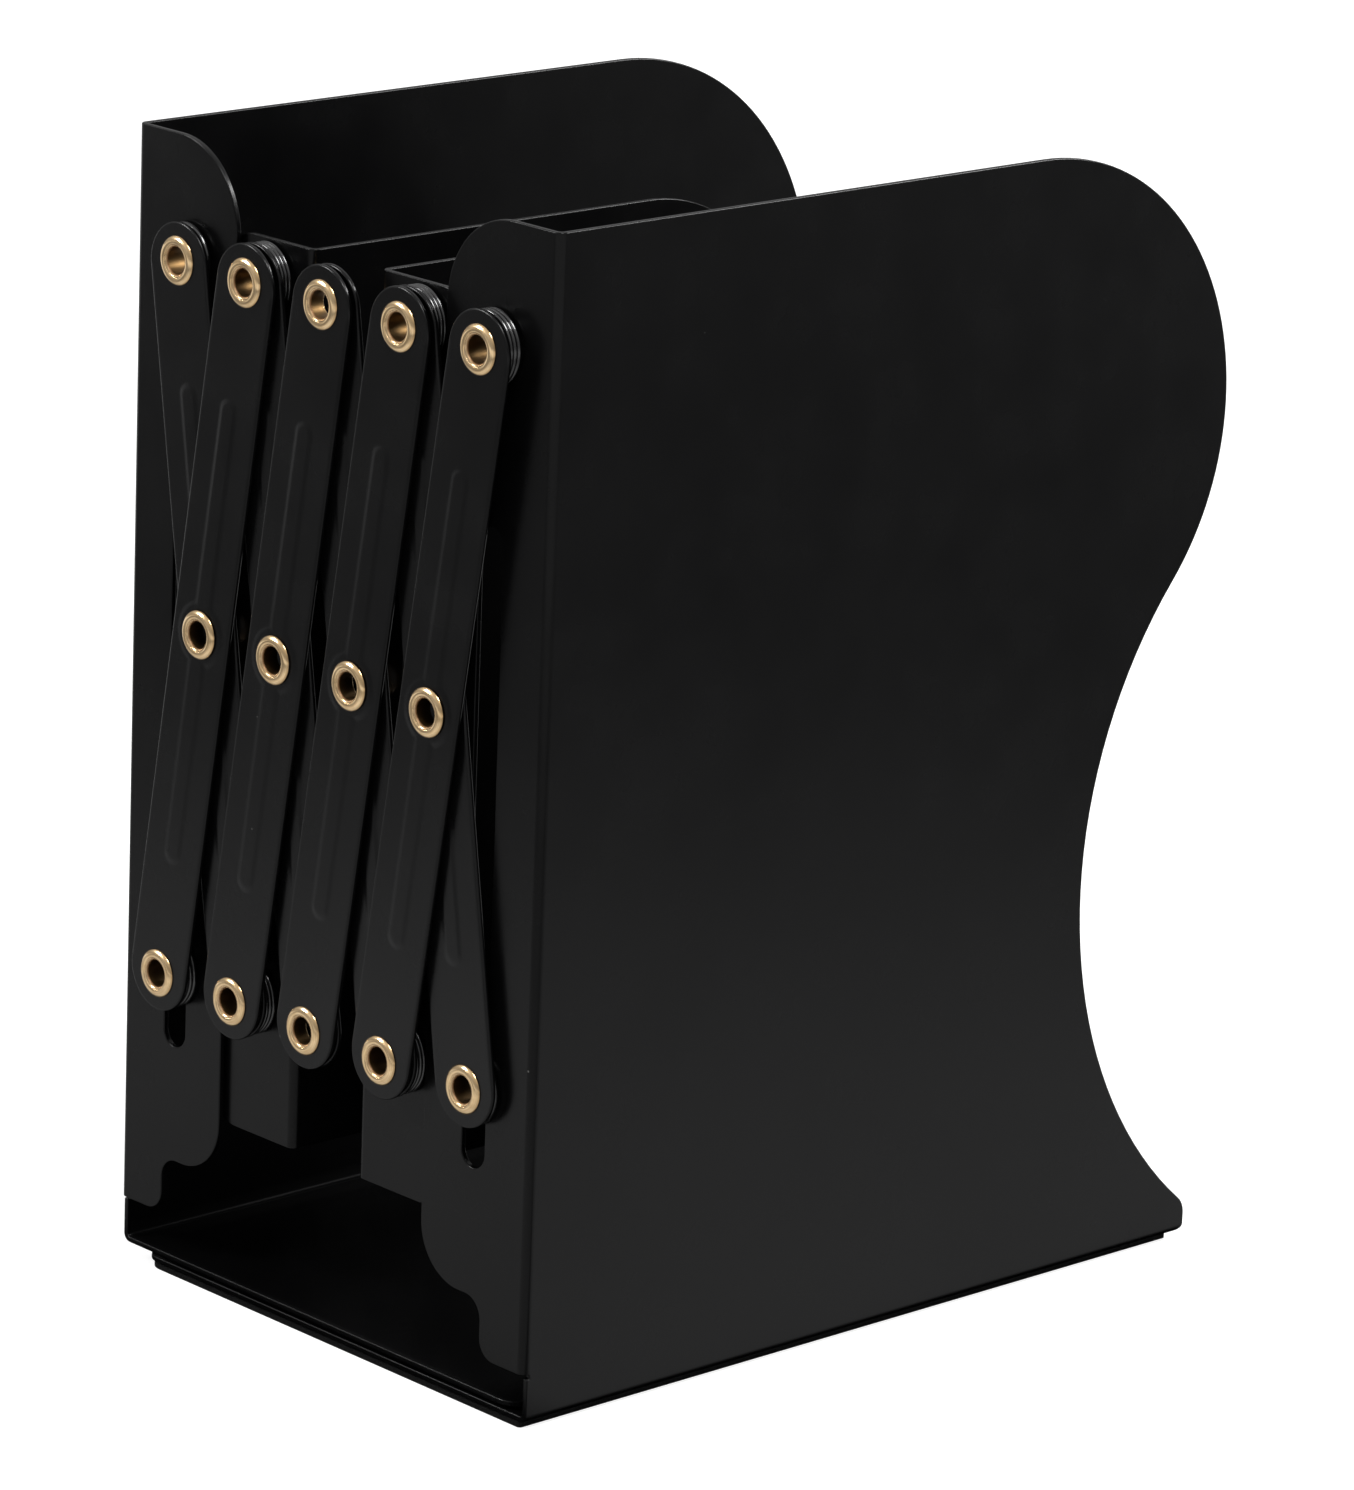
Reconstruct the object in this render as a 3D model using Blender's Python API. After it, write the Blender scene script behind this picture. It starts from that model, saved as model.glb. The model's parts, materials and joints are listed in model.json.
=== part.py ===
"""An expandable bookend of folded sheet steel.

Two end plates, each folded from one sheet into a panel, a spine flange and a base, are joined on
their spine side by scissor arms on hollow rivets. Two more folded sheets hang from the scissors as
dividers. The near base slides under the far base. All lengths are in metres, X is the row of books,
+Y is the open front, +Z is up, and the origin is under the middle of the closed bookend.
"""

import math

import bmesh
import bpy

# Sheet and pads
SHEET = 0.0010
BEND_RADIUS = 0.0015
PAD = 0.00125
GLUE_GAP = 0.0001
SLIDE_GAP = 0.0005
PAD_INSET = 0.0005
PAD_CORNER = 0.0035
STRIP_CLEARANCE = 0.0006
STRIP_END_INSET = 0.0100
STRIP_CORNER = 0.0012

# Scissor linkage, closed, and the width of the whole bookend with it
WIDTH = 0.10350
PIVOT_SPACING = 0.12250
CELLS = 4
PIN_INSET = 0.01375
TOP_PIN_DROP = 0.02030
FULL_LEAN = 75.0

# End plates
TOTAL_HEIGHT = 0.19635
CROWN_RADIUS = 0.04650
CROWN_CENTRE_DEPTH = 0.10600
WAIST_RADIUS = 0.08000
WAIST_HEIGHT = 0.06925
FOOT_DEPTH = 0.15370
TOE_RADIUS = 0.00400
NEAR_BASE_END_GAP = 0.00510
FAR_BASE_END_GAP = 0.00280
BASE_CORNER = 0.00400
EDGE_SETBACK = 0.00090
RELIEF = 0.00060

# Spine flange of an end plate; its heights count from the plate's underside
FLANGE_CLEARANCE = 0.00055
FLANGE_CROWN_RADIUS = 0.01500
FLANGE_FOOT = 0.00830
SCROLL_RADIUS = 0.00960
SCROLL_STEP_WIDTH = 0.01100
SCROLL_STEP_HEIGHT = 0.01830
SCROLL_FILLET = 0.00360
SCROLL_TOE = 0.00360

# How far below the lower pins the slots end, in the end plates and in the dividers
SLOT_BELOW_PIN = 0.01095
DIVIDER_SLOT_BELOW_PIN = 0.00100

# Dividers
DIVIDER_ABOVE_PIN = 0.00670
DIVIDER_HEIGHT = 0.15170
DIVIDER_FLANGE_WIDTH = 0.02160
DIVIDER_FLANGE_CORNER = 0.00650
DIVIDER_CROWN_RADIUS = 0.03200
DIVIDER_CROWN_CENTRE_DEPTH = 0.07300
DIVIDER_WAIST_RADIUS = 0.09000
DIVIDER_WAIST_HEIGHT = 0.08475
DIVIDER_FOOT_DEPTH = 0.10100

# Arms
ARM_THICKNESS = 0.0009
ARM_WIDTH = 0.01420
ARM_END_REACH = 0.00640
BEAD_HEIGHT = 0.00025
BEAD_WIDTH = 0.00480
BEAD_REACH = 0.04150
BEAD_SLOPE = 0.00040
BOSS_RADIUS = 0.00600

# Rivets and spacers
RIVET_BORE_RADIUS = 0.00215
RIVET_WALL = 0.00030
RIVET_HEAD_RADIUS = 0.00413
RIVET_TAIL_RADIUS = 0.00400
RIVET_HEAD_HEIGHT = 0.00060
RIVET_TAIL_HEIGHT = 0.00050
RIVET_SEAT_GAP = 0.00005
SPACER_RADIUS = 0.00630
SPACER_THICKNESS = 0.00090
HOLE_CLEARANCE = 0.00030

# Running gaps between the layers, along Y
LAYER_GAP = 0.00030
BEAD_GAP = 0.00035

# Fineness of round shapes
OUTLINE_STEPS = 14
SMALL_ARC_STEPS = 5
BEND_STEPS = 3
HOLE_STEPS = 16
RIM_STEPS = 4
MERGE = 0.000001
OVERRUN = 0.00200

# Places worked out from the sizes above
PITCH = (WIDTH - 2 * PIN_INSET) / CELLS
NEAR_BASE_WIDTH = WIDTH - NEAR_BASE_END_GAP
FAR_BASE_WIDTH = WIDTH - FAR_BASE_END_GAP
FLANGE_WIDTH = PIN_INSET + PITCH - SPACER_RADIUS - FLANGE_CLEARANCE
HALF_ARM = PIVOT_SPACING / 2
LEAN = math.asin(PITCH / PIVOT_SPACING)
TOP_PIN_HEIGHT = TOTAL_HEIGHT - TOP_PIN_DROP
MIDDLE_PIN_HEIGHT = TOP_PIN_HEIGHT - HALF_ARM * math.cos(LEAN)
BOTTOM_PIN_HEIGHT = TOP_PIN_HEIGHT - PIVOT_SPACING * math.cos(LEAN)
BOTTOM_PIN_HEIGHT_OPEN = TOP_PIN_HEIGHT - PIVOT_SPACING * math.cos(math.radians(FULL_LEAN))
RIVET_RADIUS = RIVET_BORE_RADIUS + RIVET_WALL
HOLE_RADIUS = RIVET_RADIUS + HOLE_CLEARANCE
SLOT_HIGH = BOTTOM_PIN_HEIGHT_OPEN
DIVIDER_TOP = TOP_PIN_HEIGHT + DIVIDER_ABOVE_PIN
DIVIDER_BOTTOM = DIVIDER_TOP - DIVIDER_HEIGHT

# Layers in front of the spine, as distances from the flanges' outer face
SPACER_NEAR = LAYER_GAP
SPACER_FAR = SPACER_NEAR + SPACER_THICKNESS
BACK_ARM_NEAR = SPACER_FAR + LAYER_GAP
BACK_ARM_FAR = BACK_ARM_NEAR + ARM_THICKNESS
FRONT_ARM_NEAR = BACK_ARM_FAR + BEAD_HEIGHT + BEAD_GAP
FRONT_ARM_FAR = FRONT_ARM_NEAR + ARM_THICKNESS
HEAD_FAR = FRONT_ARM_FAR + BEAD_HEIGHT + RIVET_SEAT_GAP + RIVET_HEAD_HEIGHT

# Layers behind the spine, as depths behind the flanges' outer face
DIVIDER_FACE = SHEET + LAYER_GAP
DIVIDER_BACK = DIVIDER_FACE + SHEET

# The spine's outer face, so that the whole object is centred on Y
SPINE_Y = -(FOOT_DEPTH - HEAD_FAR) / 2
RIGHT_BASE_UNDERSIDE = PAD + GLUE_GAP
LEFT_BASE_UNDERSIDE = RIGHT_BASE_UNDERSIDE + SHEET + SLIDE_GAP


def clear_scene():
    """Removes whatever the scene starts with."""
    for thing in list(bpy.data.objects):
        bpy.data.objects.remove(thing, do_unlink=True)


def make_material(name, colour, roughness, metallic):
    """A plain principled material."""
    material = bpy.data.materials.new(name)
    material.use_nodes = True
    shader = material.node_tree.nodes["Principled BSDF"]
    shader.inputs["Base Color"].default_value = (*colour, 1.0)
    shader.inputs["Roughness"].default_value = roughness
    shader.inputs["Metallic"].default_value = metallic
    material.diffuse_color = (*colour, 1.0)
    return material


def make_empty(name, location, parent=None):
    """An empty that carries one moving body; it stands on that body's joint axis."""
    empty = bpy.data.objects.new(name, None)
    bpy.context.scene.collection.objects.link(empty)
    empty.location = location
    if parent is not None:
        empty.parent = parent
    return empty


def make_object(name, mesh, material, parent, location=(0, 0, 0), turn=0):
    """A named object under an empty, turned about Y."""
    thing = bpy.data.objects.new(name, mesh)
    bpy.context.scene.collection.objects.link(thing)
    thing.parent = parent
    thing.location = location
    thing.rotation_euler = (0, turn, 0)
    if material is not None and not mesh.materials:
        mesh.materials.append(material)
    return thing


def mesh_from(bm, name, smooth=False):
    """Turns a bmesh into a mesh, with smooth faces where it is round."""
    mesh = bpy.data.meshes.new(name)
    bm.to_mesh(mesh)
    bm.free()
    if smooth:
        mesh.shade_smooth()
        mesh.set_sharp_from_angle(angle=math.radians(30))
    return mesh


def arc(centre, radius, start, end, steps):
    """Points along an arc in a plane, from one angle to another, both in degrees."""
    points = []
    for step in range(steps + 1):
        angle = math.radians(start + (end - start) * step / steps)
        points.append((centre[0] + radius * math.cos(angle), centre[1] + radius * math.sin(angle)))
    return points


def stadium(low, high, radius, steps):
    """A slot shape standing on end between two heights of its round ends' centres."""
    return arc((0, high), radius, 0, 180, steps) + arc((0, low), radius, 180, 360, steps)


def panel_front(top, bottom, crown_radius, crown_depth, waist_radius, waist_height, foot_depth):
    """The front edge of a panel, from the top down: a crown, a waist and a toe, each tangent to the next."""
    crown = (crown_depth, top - crown_radius)
    reach = crown_radius + waist_radius
    waist = (crown[0] + math.sqrt(reach**2 - (crown[1] - waist_height) ** 2), waist_height)
    toe_depth = foot_depth - TOE_RADIUS
    toe_reach = waist_radius + TOE_RADIUS
    toe = (toe_depth, waist_height - math.sqrt(toe_reach**2 - (waist[0] - toe_depth) ** 2))
    to_waist = math.degrees(math.atan2(waist[1] - crown[1], waist[0] - crown[0]))
    to_toe = math.degrees(math.atan2(toe[1] - waist[1], toe[0] - waist[0])) + 360
    points = arc(crown, crown_radius, 90, to_waist, OUTLINE_STEPS)
    points += arc(waist, waist_radius, to_waist + 180, to_toe, OUTLINE_STEPS)[1:]
    points += arc(toe, TOE_RADIUS, to_toe - 180, 0, SMALL_ARC_STEPS)[1:]
    return points + [(foot_depth, bottom)]


def spine_flange_edge(underside):
    """The free edge of an end plate's spine flange, from its top down to the scrolled foot."""
    step = underside + SCROLL_STEP_HEIGHT
    crown = (FLANGE_WIDTH - FLANGE_CROWN_RADIUS, TOTAL_HEIGHT - FLANGE_CROWN_RADIUS)
    scroll = (FLANGE_WIDTH - SCROLL_RADIUS, step + SCROLL_RADIUS)
    fillet = (SCROLL_STEP_WIDTH + SCROLL_FILLET, step - SCROLL_FILLET)
    toe = (SCROLL_STEP_WIDTH - SCROLL_TOE, underside + FLANGE_FOOT + SCROLL_TOE)
    points = arc(crown, FLANGE_CROWN_RADIUS, 90, 0, 2 * SMALL_ARC_STEPS)
    points += arc(scroll, SCROLL_RADIUS, 0, -90, 2 * SMALL_ARC_STEPS)
    points += arc(fillet, SCROLL_FILLET, 90, 180, SMALL_ARC_STEPS)
    points += arc(toe, SCROLL_TOE, 0, -90, SMALL_ARC_STEPS)
    return points


def bend(steps=BEND_STEPS):
    """The outer face of a right-angled bend: how far in and how far down each row of it lies."""
    rows = []
    for step in range(steps + 1):
        angle = math.pi / 2 * step / steps
        rows.append((BEND_RADIUS * (1 - math.cos(angle)), BEND_RADIUS * (1 - math.sin(angle))))
    return rows


def strips(rows):
    """Faces that join each row of points to the next; all rows hold two points."""
    return [[low[0], low[1], high[1], high[0]] for low, high in zip(rows[:-1], rows[1:])]


def folded_mesh(name, faces, side):
    """A sheet from flat faces of its outer side, joined at their shared corners.

    side is 1 for a sheet on the left, whose panel faces -X, and -1 for its mirror image.
    """
    bm = bmesh.new()
    for face in faces:
        bm.faces.new([bm.verts.new((side * x, y, z)) for x, y, z in face])
    bmesh.ops.remove_doubles(bm, verts=bm.verts, dist=MERGE)
    bmesh.ops.recalc_face_normals(bm, faces=bm.faces)
    panel = max(bm.faces, key=lambda face: face.calc_area())
    if panel.normal.x * side > 0:
        bmesh.ops.reverse_faces(bm, faces=bm.faces)
    return mesh_from(bm, name)


def thicken(thing, thickness):
    """Gives a folded sheet its thickness, on the inner side of its faces."""
    shell = thing.modifiers.new("Sheet", "SOLIDIFY")
    shell.thickness = thickness
    shell.offset = -1
    shell.use_even_offset = True
    shell.use_quality_normals = True


def loft_mesh(name, first, second):
    """A closed body between two outlines that have the same number of points."""
    bm = bmesh.new()
    low = [bm.verts.new(point) for point in first]
    high = [bm.verts.new(point) for point in second]
    bm.faces.new(low)
    bm.faces.new(high)
    for index in range(len(low)):
        follow = (index + 1) % len(low)
        bm.faces.new((low[index], low[follow], high[follow], high[index]))
    bmesh.ops.recalc_face_normals(bm, faces=bm.faces)
    return mesh_from(bm, name)


def prism_mesh(name, outline, near, far):
    """A body with an outline in X and Z, drawn out along Y between two depths."""
    return loft_mesh(name, [(x, near, z) for x, z in outline], [(x, far, z) for x, z in outline])


def add_boolean(thing, tool, operation):
    """Joins or cuts with a hidden tool object, by the exact solver; gives the tool back."""
    tool.hide_render = True
    tool.display_type = "WIRE"
    boolean = thing.modifiers.new(tool.name, "BOOLEAN")
    boolean.operation = operation
    boolean.solver = "EXACT"
    boolean.object = tool
    return tool


def cut(thing, name, outline, parent, location):
    """Cuts an outline through a sheet whose outer face lies at the given place."""
    mesh = prism_mesh(name, outline, -OVERRUN, SHEET + OVERRUN)
    add_boolean(thing, make_object(name, mesh, None, parent, location), "DIFFERENCE")


def round_hole(height):
    """The outline of a pin hole at a height."""
    return arc((0, height), HOLE_RADIUS, 0, 360 - 360 / HOLE_STEPS, HOLE_STEPS - 1)


def lower_slot(below_pin):
    """The outline of the slot that the lower pin slides in, from below its closed place upwards."""
    return stadium(BOTTOM_PIN_HEIGHT - below_pin, SLOT_HIGH, HOLE_RADIUS, HOLE_STEPS // 2)


def end_plate_faces(underside, base_width):
    """The outer faces of an end plate: panel, two bends, spine flange and base."""
    fold = underside + BEND_RADIUS
    base_front = FOOT_DEPTH - BEND_RADIUS
    front = panel_front(
        TOTAL_HEIGHT, fold, CROWN_RADIUS, CROWN_CENTRE_DEPTH, WAIST_RADIUS, WAIST_HEIGHT, FOOT_DEPTH
    )
    flange_bottom = underside + FLANGE_FOOT
    notch = flange_bottom - RELIEF
    back = [(EDGE_SETBACK, fold), (EDGE_SETBACK, notch), (BEND_RADIUS, notch), (BEND_RADIUS, flange_bottom)]
    panel = [(0, y, z) for y, z in front + back + [(BEND_RADIUS, TOTAL_HEIGHT)]]
    spine_rows = [((x, y, flange_bottom), (x, y, TOTAL_HEIGHT)) for x, y in bend()]
    flange_outline = [(BEND_RADIUS, TOTAL_HEIGHT)] + spine_flange_edge(underside) + [(BEND_RADIUS, flange_bottom)]
    flange = [(x, 0, z) for x, z in flange_outline]
    base_rows = [((x, EDGE_SETBACK, underside + z), (x, FOOT_DEPTH - x, underside + z)) for x, z in bend()]
    back_corner = (base_width - BASE_CORNER, EDGE_SETBACK + BASE_CORNER)
    front_corner = (base_width - BASE_CORNER, base_front - BASE_CORNER)
    base_outline = [(BEND_RADIUS, EDGE_SETBACK)]
    base_outline += arc(back_corner, BASE_CORNER, -90, 0, SMALL_ARC_STEPS)
    base_outline += arc(front_corner, BASE_CORNER, 0, 90, SMALL_ARC_STEPS)
    base_outline += [(BEND_RADIUS, base_front)]
    base = [(x, y, underside) for x, y in base_outline]
    return [panel, flange, base] + strips(spine_rows) + strips(base_rows)


def build_end_plate(name, side, underside, base_width, material, parent, place):
    """One end plate with its upper pin hole and its lower slot."""
    mesh = folded_mesh(name, end_plate_faces(underside, base_width), side)
    plate = make_object(name, mesh, material, parent, place)
    thicken(plate, SHEET)
    pin_line = (place[0] + side * PIN_INSET, place[1], place[2])
    cut(plate, name + "_hole", round_hole(TOP_PIN_HEIGHT), parent, pin_line)
    cut(plate, name + "_slot", lower_slot(SLOT_BELOW_PIN), parent, pin_line)


def divider_faces():
    """The outer faces of a divider: panel, bend and flange; the panel lies on X = 0."""
    front = panel_front(
        DIVIDER_TOP,
        DIVIDER_BOTTOM,
        DIVIDER_CROWN_RADIUS,
        DIVIDER_CROWN_CENTRE_DEPTH,
        DIVIDER_WAIST_RADIUS,
        DIVIDER_WAIST_HEIGHT,
        DIVIDER_FOOT_DEPTH,
    )
    back = [(BEND_RADIUS, DIVIDER_BOTTOM), (BEND_RADIUS, DIVIDER_TOP)]
    panel = [(0, y, z) for y, z in front + back]
    rows = [((x, y, DIVIDER_BOTTOM), (x, y, DIVIDER_TOP)) for x, y in bend()]
    edge = DIVIDER_FLANGE_WIDTH - DIVIDER_FLANGE_CORNER
    top_corner = (edge, DIVIDER_TOP - DIVIDER_FLANGE_CORNER)
    bottom_corner = (edge, DIVIDER_BOTTOM + DIVIDER_FLANGE_CORNER)
    outline = [(BEND_RADIUS, DIVIDER_TOP)]
    outline += arc(top_corner, DIVIDER_FLANGE_CORNER, 90, 0, SMALL_ARC_STEPS)
    outline += arc(bottom_corner, DIVIDER_FLANGE_CORNER, 0, -90, SMALL_ARC_STEPS)
    outline += [(BEND_RADIUS, DIVIDER_BOTTOM)]
    flange = [(x, 0, z) for x, z in outline]
    return [panel, flange] + strips(rows)


def build_divider(name, side, pin_x, material, parent):
    """One hanging divider; side is 1 where its flange runs towards +X from its panel."""
    mesh = folded_mesh(name, divider_faces(), side)
    centre = (pin_x, SPINE_Y + DIVIDER_FACE, 0)
    place = local(parent, (pin_x - side * DIVIDER_FLANGE_WIDTH / 2, centre[1], 0))
    divider = make_object(name, mesh, material, parent, place)
    thicken(divider, SHEET)
    cut(divider, name + "_hole", round_hole(TOP_PIN_HEIGHT), parent, local(parent, centre))
    cut(divider, name + "_slot", lower_slot(DIVIDER_SLOT_BELOW_PIN), parent, local(parent, centre))


def local(parent, place):
    """A place in the world, as seen from an empty that is not turned."""
    return tuple(here - there for here, there in zip(place, world_location(parent)))


def world_location(empty):
    """Where an empty stands in the world; the empties only move, and none is turned."""
    here = [0, 0, 0]
    while empty is not None:
        here = [a + b for a, b in zip(here, empty.location)]
        empty = empty.parent
    return here


def arm_outline():
    """An arm's outline about its middle pin: straight sides and round ends just past the end pins."""
    radius = ARM_WIDTH / 2
    centre = HALF_ARM + ARM_END_REACH - radius
    return stadium(-centre, centre, radius, 2 * SMALL_ARC_STEPS)


def bead_outline(shrink):
    """The raised part of an arm: a round boss at the middle pin and a rib to each side of it."""
    half = BEAD_WIDTH / 2 - shrink
    boss = BOSS_RADIUS - shrink
    tip = BEAD_REACH - BEAD_WIDTH / 2
    meet = math.degrees(math.asin(half / boss))
    points = arc((0, tip), half, 0, 180, SMALL_ARC_STEPS)
    points += arc((0, 0), boss, 90 + meet, 270 - meet, 2 * SMALL_ARC_STEPS)
    points += arc((0, -tip), half, 180, 360, SMALL_ARC_STEPS)
    points += arc((0, 0), boss, 270 + meet, 450 - meet, 2 * SMALL_ARC_STEPS)
    return points


def arm_mesh(material):
    """One arm about its middle pin, its back at Y = 0 and its raised bead facing -Y."""
    plate = make_object("arm_blank", prism_mesh("arm", arm_outline(), 0, -ARM_THICKNESS), material, None)
    lower = [(x, -ARM_THICKNESS / 2, z) for x, z in bead_outline(0)]
    upper = [(x, -ARM_THICKNESS - BEAD_HEIGHT, z) for x, z in bead_outline(BEAD_SLOPE)]
    bead = make_object("arm_bead", loft_mesh("arm_bead", lower, upper), None, None)
    tools = [add_boolean(plate, bead, "UNION")]
    for height in (-HALF_ARM, 0, HALF_ARM):
        hole = prism_mesh("arm_hole", round_hole(height), OVERRUN, -ARM_THICKNESS - OVERRUN)
        tools.append(add_boolean(plate, make_object("arm_hole", hole, None, None), "DIFFERENCE"))
    graph = bpy.context.evaluated_depsgraph_get()
    mesh = bpy.data.meshes.new_from_object(plate.evaluated_get(graph))
    mesh.name = "arm"
    for thing in [plate] + tools:
        bpy.data.objects.remove(thing, do_unlink=True)
    return mesh


def turned_mesh(name, profile):
    """A closed profile of (radius, depth) points spun once round the Y axis."""
    bm = bmesh.new()
    verts = [bm.verts.new((radius, depth, 0)) for radius, depth in profile]
    edges = [bm.edges.new((a, b)) for a, b in zip(verts, verts[1:] + verts[:1])]
    bmesh.ops.spin(
        bm,
        geom=verts + edges,
        cent=(0, 0, 0),
        axis=(0, 1, 0),
        dvec=(0, 0, 0),
        angle=2 * math.pi,
        steps=HOLE_STEPS,
        use_merge=True,
    )
    bmesh.ops.remove_doubles(bm, verts=bm.verts, dist=MERGE)
    bmesh.ops.recalc_face_normals(bm, faces=bm.faces)
    return mesh_from(bm, name, smooth=True)


def rolled_rim(outer, seat, height):
    """The domed rim of a hollow rivet, from its bore over the top to its outer edge."""
    middle = (RIVET_BORE_RADIUS + outer) / 2
    half = (outer - RIVET_BORE_RADIUS) / 2
    points = []
    for step in range(RIM_STEPS + 1):
        angle = math.pi * (1 - step / RIM_STEPS)
        points.append((middle + half * math.cos(angle), seat + height * math.sin(angle)))
    return points


def rivet_mesh(name, head_seat, tail_seat):
    """A hollow rivet along Y; the seats are the depths that its two rims close on."""
    head = rolled_rim(RIVET_HEAD_RADIUS, head_seat - RIVET_SEAT_GAP, -RIVET_HEAD_HEIGHT)
    tail = rolled_rim(RIVET_TAIL_RADIUS, tail_seat + RIVET_SEAT_GAP, RIVET_TAIL_HEIGHT)
    shank = [(RIVET_RADIUS, head[-1][1]), (RIVET_RADIUS, tail[-1][1])]
    return turned_mesh(name, head + shank + tail[::-1])


def spacer_mesh(name, near, far):
    """A round spacer on a rivet between two depths."""
    inner = RIVET_RADIUS + HOLE_CLEARANCE
    return turned_mesh(name, [(inner, near), (SPACER_RADIUS, near), (SPACER_RADIUS, far), (inner, far)])


def pin_x(number):
    """The place along X of a column of pins, counted from 1 at the left end."""
    return PIN_INSET - WIDTH / 2 + PITCH * (number - 1)


def build_links(arm, left_end):
    """The empties of the scissor's bodies and the arms on them; gives the empties by name.

    The chain of bodies zigzags through whole arms, by turns a back arm from its upper pin and a front
    arm from its lower pin, and the arm that crosses each of them is carried at their middle pin.
    """
    links = {"left_end": left_end}
    carrier = left_end
    for number in range(1, CELLS + 1):
        on_top = number % 2 == 1
        start = (pin_x(number), SPINE_Y, TOP_PIN_HEIGHT if on_top else BOTTOM_PIN_HEIGHT)
        middle = (pin_x(number) + PITCH / 2, SPINE_Y, MIDDLE_PIN_HEIGHT)
        through, crossing = ("back", "front") if on_top else ("front", "back")
        carrier = make_empty(f"{through}_link_{number}", local(carrier, start), carrier)
        crossed = make_empty(f"{crossing}_link_{number}", local(carrier, middle), carrier)
        links[carrier.name] = carrier
        links[crossed.name] = crossed
        for layer, depth, turn in (("back", BACK_ARM_NEAR, -LEAN), ("front", FRONT_ARM_NEAR, LEAN)):
            link = links[f"{layer}_link_{number}"]
            place = local(link, (middle[0], SPINE_Y - depth, middle[2]))
            make_object(f"{layer}_arm_{number}", arm, None, link, place, turn)
    end = (pin_x(CELLS + 1), SPINE_Y, TOP_PIN_HEIGHT)
    links["right_end"] = make_empty("right_end", local(carrier, end), carrier)
    for name, number in (("left_divider", 2), ("right_divider", CELLS)):
        carrier = links[f"front_link_{number - 1}"]
        place = (pin_x(number), SPINE_Y + DIVIDER_FACE, TOP_PIN_HEIGHT)
        links[name] = make_empty(name + "_hanger", local(carrier, place), carrier)
    return links


def end_pin(row, number):
    """What an end pin of the scissor joins: its head's seat, its tail's seat and its link's name."""
    on_end_plate = number in (1, CELLS + 1)
    on_divider = number in (2, CELLS)
    back_only = (row, number) in (("top", 1), ("bottom", CELLS + 1))
    head = BACK_ARM_FAR if back_only else FRONT_ARM_FAR
    if back_only:
        link = "back_link_1" if row == "top" else f"back_link_{CELLS}"
    else:
        link = f"front_link_{number - 1 if row == 'top' else number}"
    tail = -BACK_ARM_NEAR
    if on_end_plate:
        tail = SHEET
    if on_divider:
        tail = DIVIDER_BACK
    return -head, tail, link


def spacer_span(number, back_only):
    """The near and far depths of the spacer on an end pin, or None where two arms meet alone."""
    if number in (2, CELLS):
        return -BACK_ARM_NEAR + LAYER_GAP, DIVIDER_FACE - LAYER_GAP
    if number in (1, CELLS + 1):
        front = BACK_ARM_NEAR if back_only else FRONT_ARM_NEAR
        return -front + LAYER_GAP, -LAYER_GAP
    return None


def build_end_pins(links, brass, steel):
    """The rivets of the top and bottom rows, with their spacers."""
    for row, height in (("top", TOP_PIN_HEIGHT), ("bottom", BOTTOM_PIN_HEIGHT)):
        for number in range(1, CELLS + 2):
            head, tail, link_name = end_pin(row, number)
            link = links[link_name]
            place = local(link, (pin_x(number), SPINE_Y, height))
            name = f"{row}_rivet_{number}"
            make_object(name, rivet_mesh(name, head, tail), brass, link, place)
            span = spacer_span(number, link_name.startswith("back"))
            if span is not None:
                name = f"{row}_spacer_{number}"
                make_object(name, spacer_mesh(name, *span), steel, link, place)


def build_middle_pins(links, brass):
    """The rivets where each pair of arms crosses; their heads sit on the arms' raised bosses."""
    for number in range(1, CELLS + 1):
        link = links[f"front_link_{number}"]
        place = local(link, (pin_x(number) + PITCH / 2, SPINE_Y, MIDDLE_PIN_HEIGHT))
        name = f"middle_rivet_{number}"
        mesh = rivet_mesh(name, -FRONT_ARM_FAR - BEAD_HEIGHT, -BACK_ARM_NEAR)
        make_object(name, mesh, brass, link, place)


def slab_outline(low_x, high_x, low_y, high_y, corner):
    """A rectangle with round corners, seen from above."""
    points = arc((high_x - corner, high_y - corner), corner, 0, 90, SMALL_ARC_STEPS)
    points += arc((low_x + corner, high_y - corner), corner, 90, 180, SMALL_ARC_STEPS)
    points += arc((low_x + corner, low_y + corner), corner, 180, 270, SMALL_ARC_STEPS)
    points += arc((high_x - corner, low_y + corner), corner, 270, 360, SMALL_ARC_STEPS)
    return points


def slab_mesh(name, outline, height):
    """A flat pad that stands on the ground."""
    low = [(x, y, 0) for x, y in outline]
    high = [(x, y, height) for x, y in outline]
    return loft_mesh(name, low, high)


def build_pads(links, rubber):
    """The pad under the near base, and the strip that carries the far end beside it."""
    front = SPINE_Y + FOOT_DEPTH - BEND_RADIUS - PAD_INSET
    back = SPINE_Y + EDGE_SETBACK + PAD_INSET
    right = WIDTH / 2
    base_end = right - NEAR_BASE_WIDTH
    outline = slab_outline(base_end + PAD_INSET, right - BEND_RADIUS - PAD_INSET, back, front, PAD_CORNER)
    link = links["right_end"]
    mesh = slab_mesh("right_base_pad", outline, PAD)
    make_object("right_base_pad", mesh, rubber, link, local(link, (0, 0, 0)))
    low = BEND_RADIUS - right
    high = base_end - STRIP_CLEARANCE
    back = SPINE_Y + EDGE_SETBACK + STRIP_END_INSET
    outline = slab_outline(low, high, back, front, STRIP_CORNER)
    mesh = slab_mesh("left_foot_strip", outline, LEFT_BASE_UNDERSIDE - GLUE_GAP)
    make_object("left_foot_strip", mesh, rubber, links["left_end"])


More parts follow.
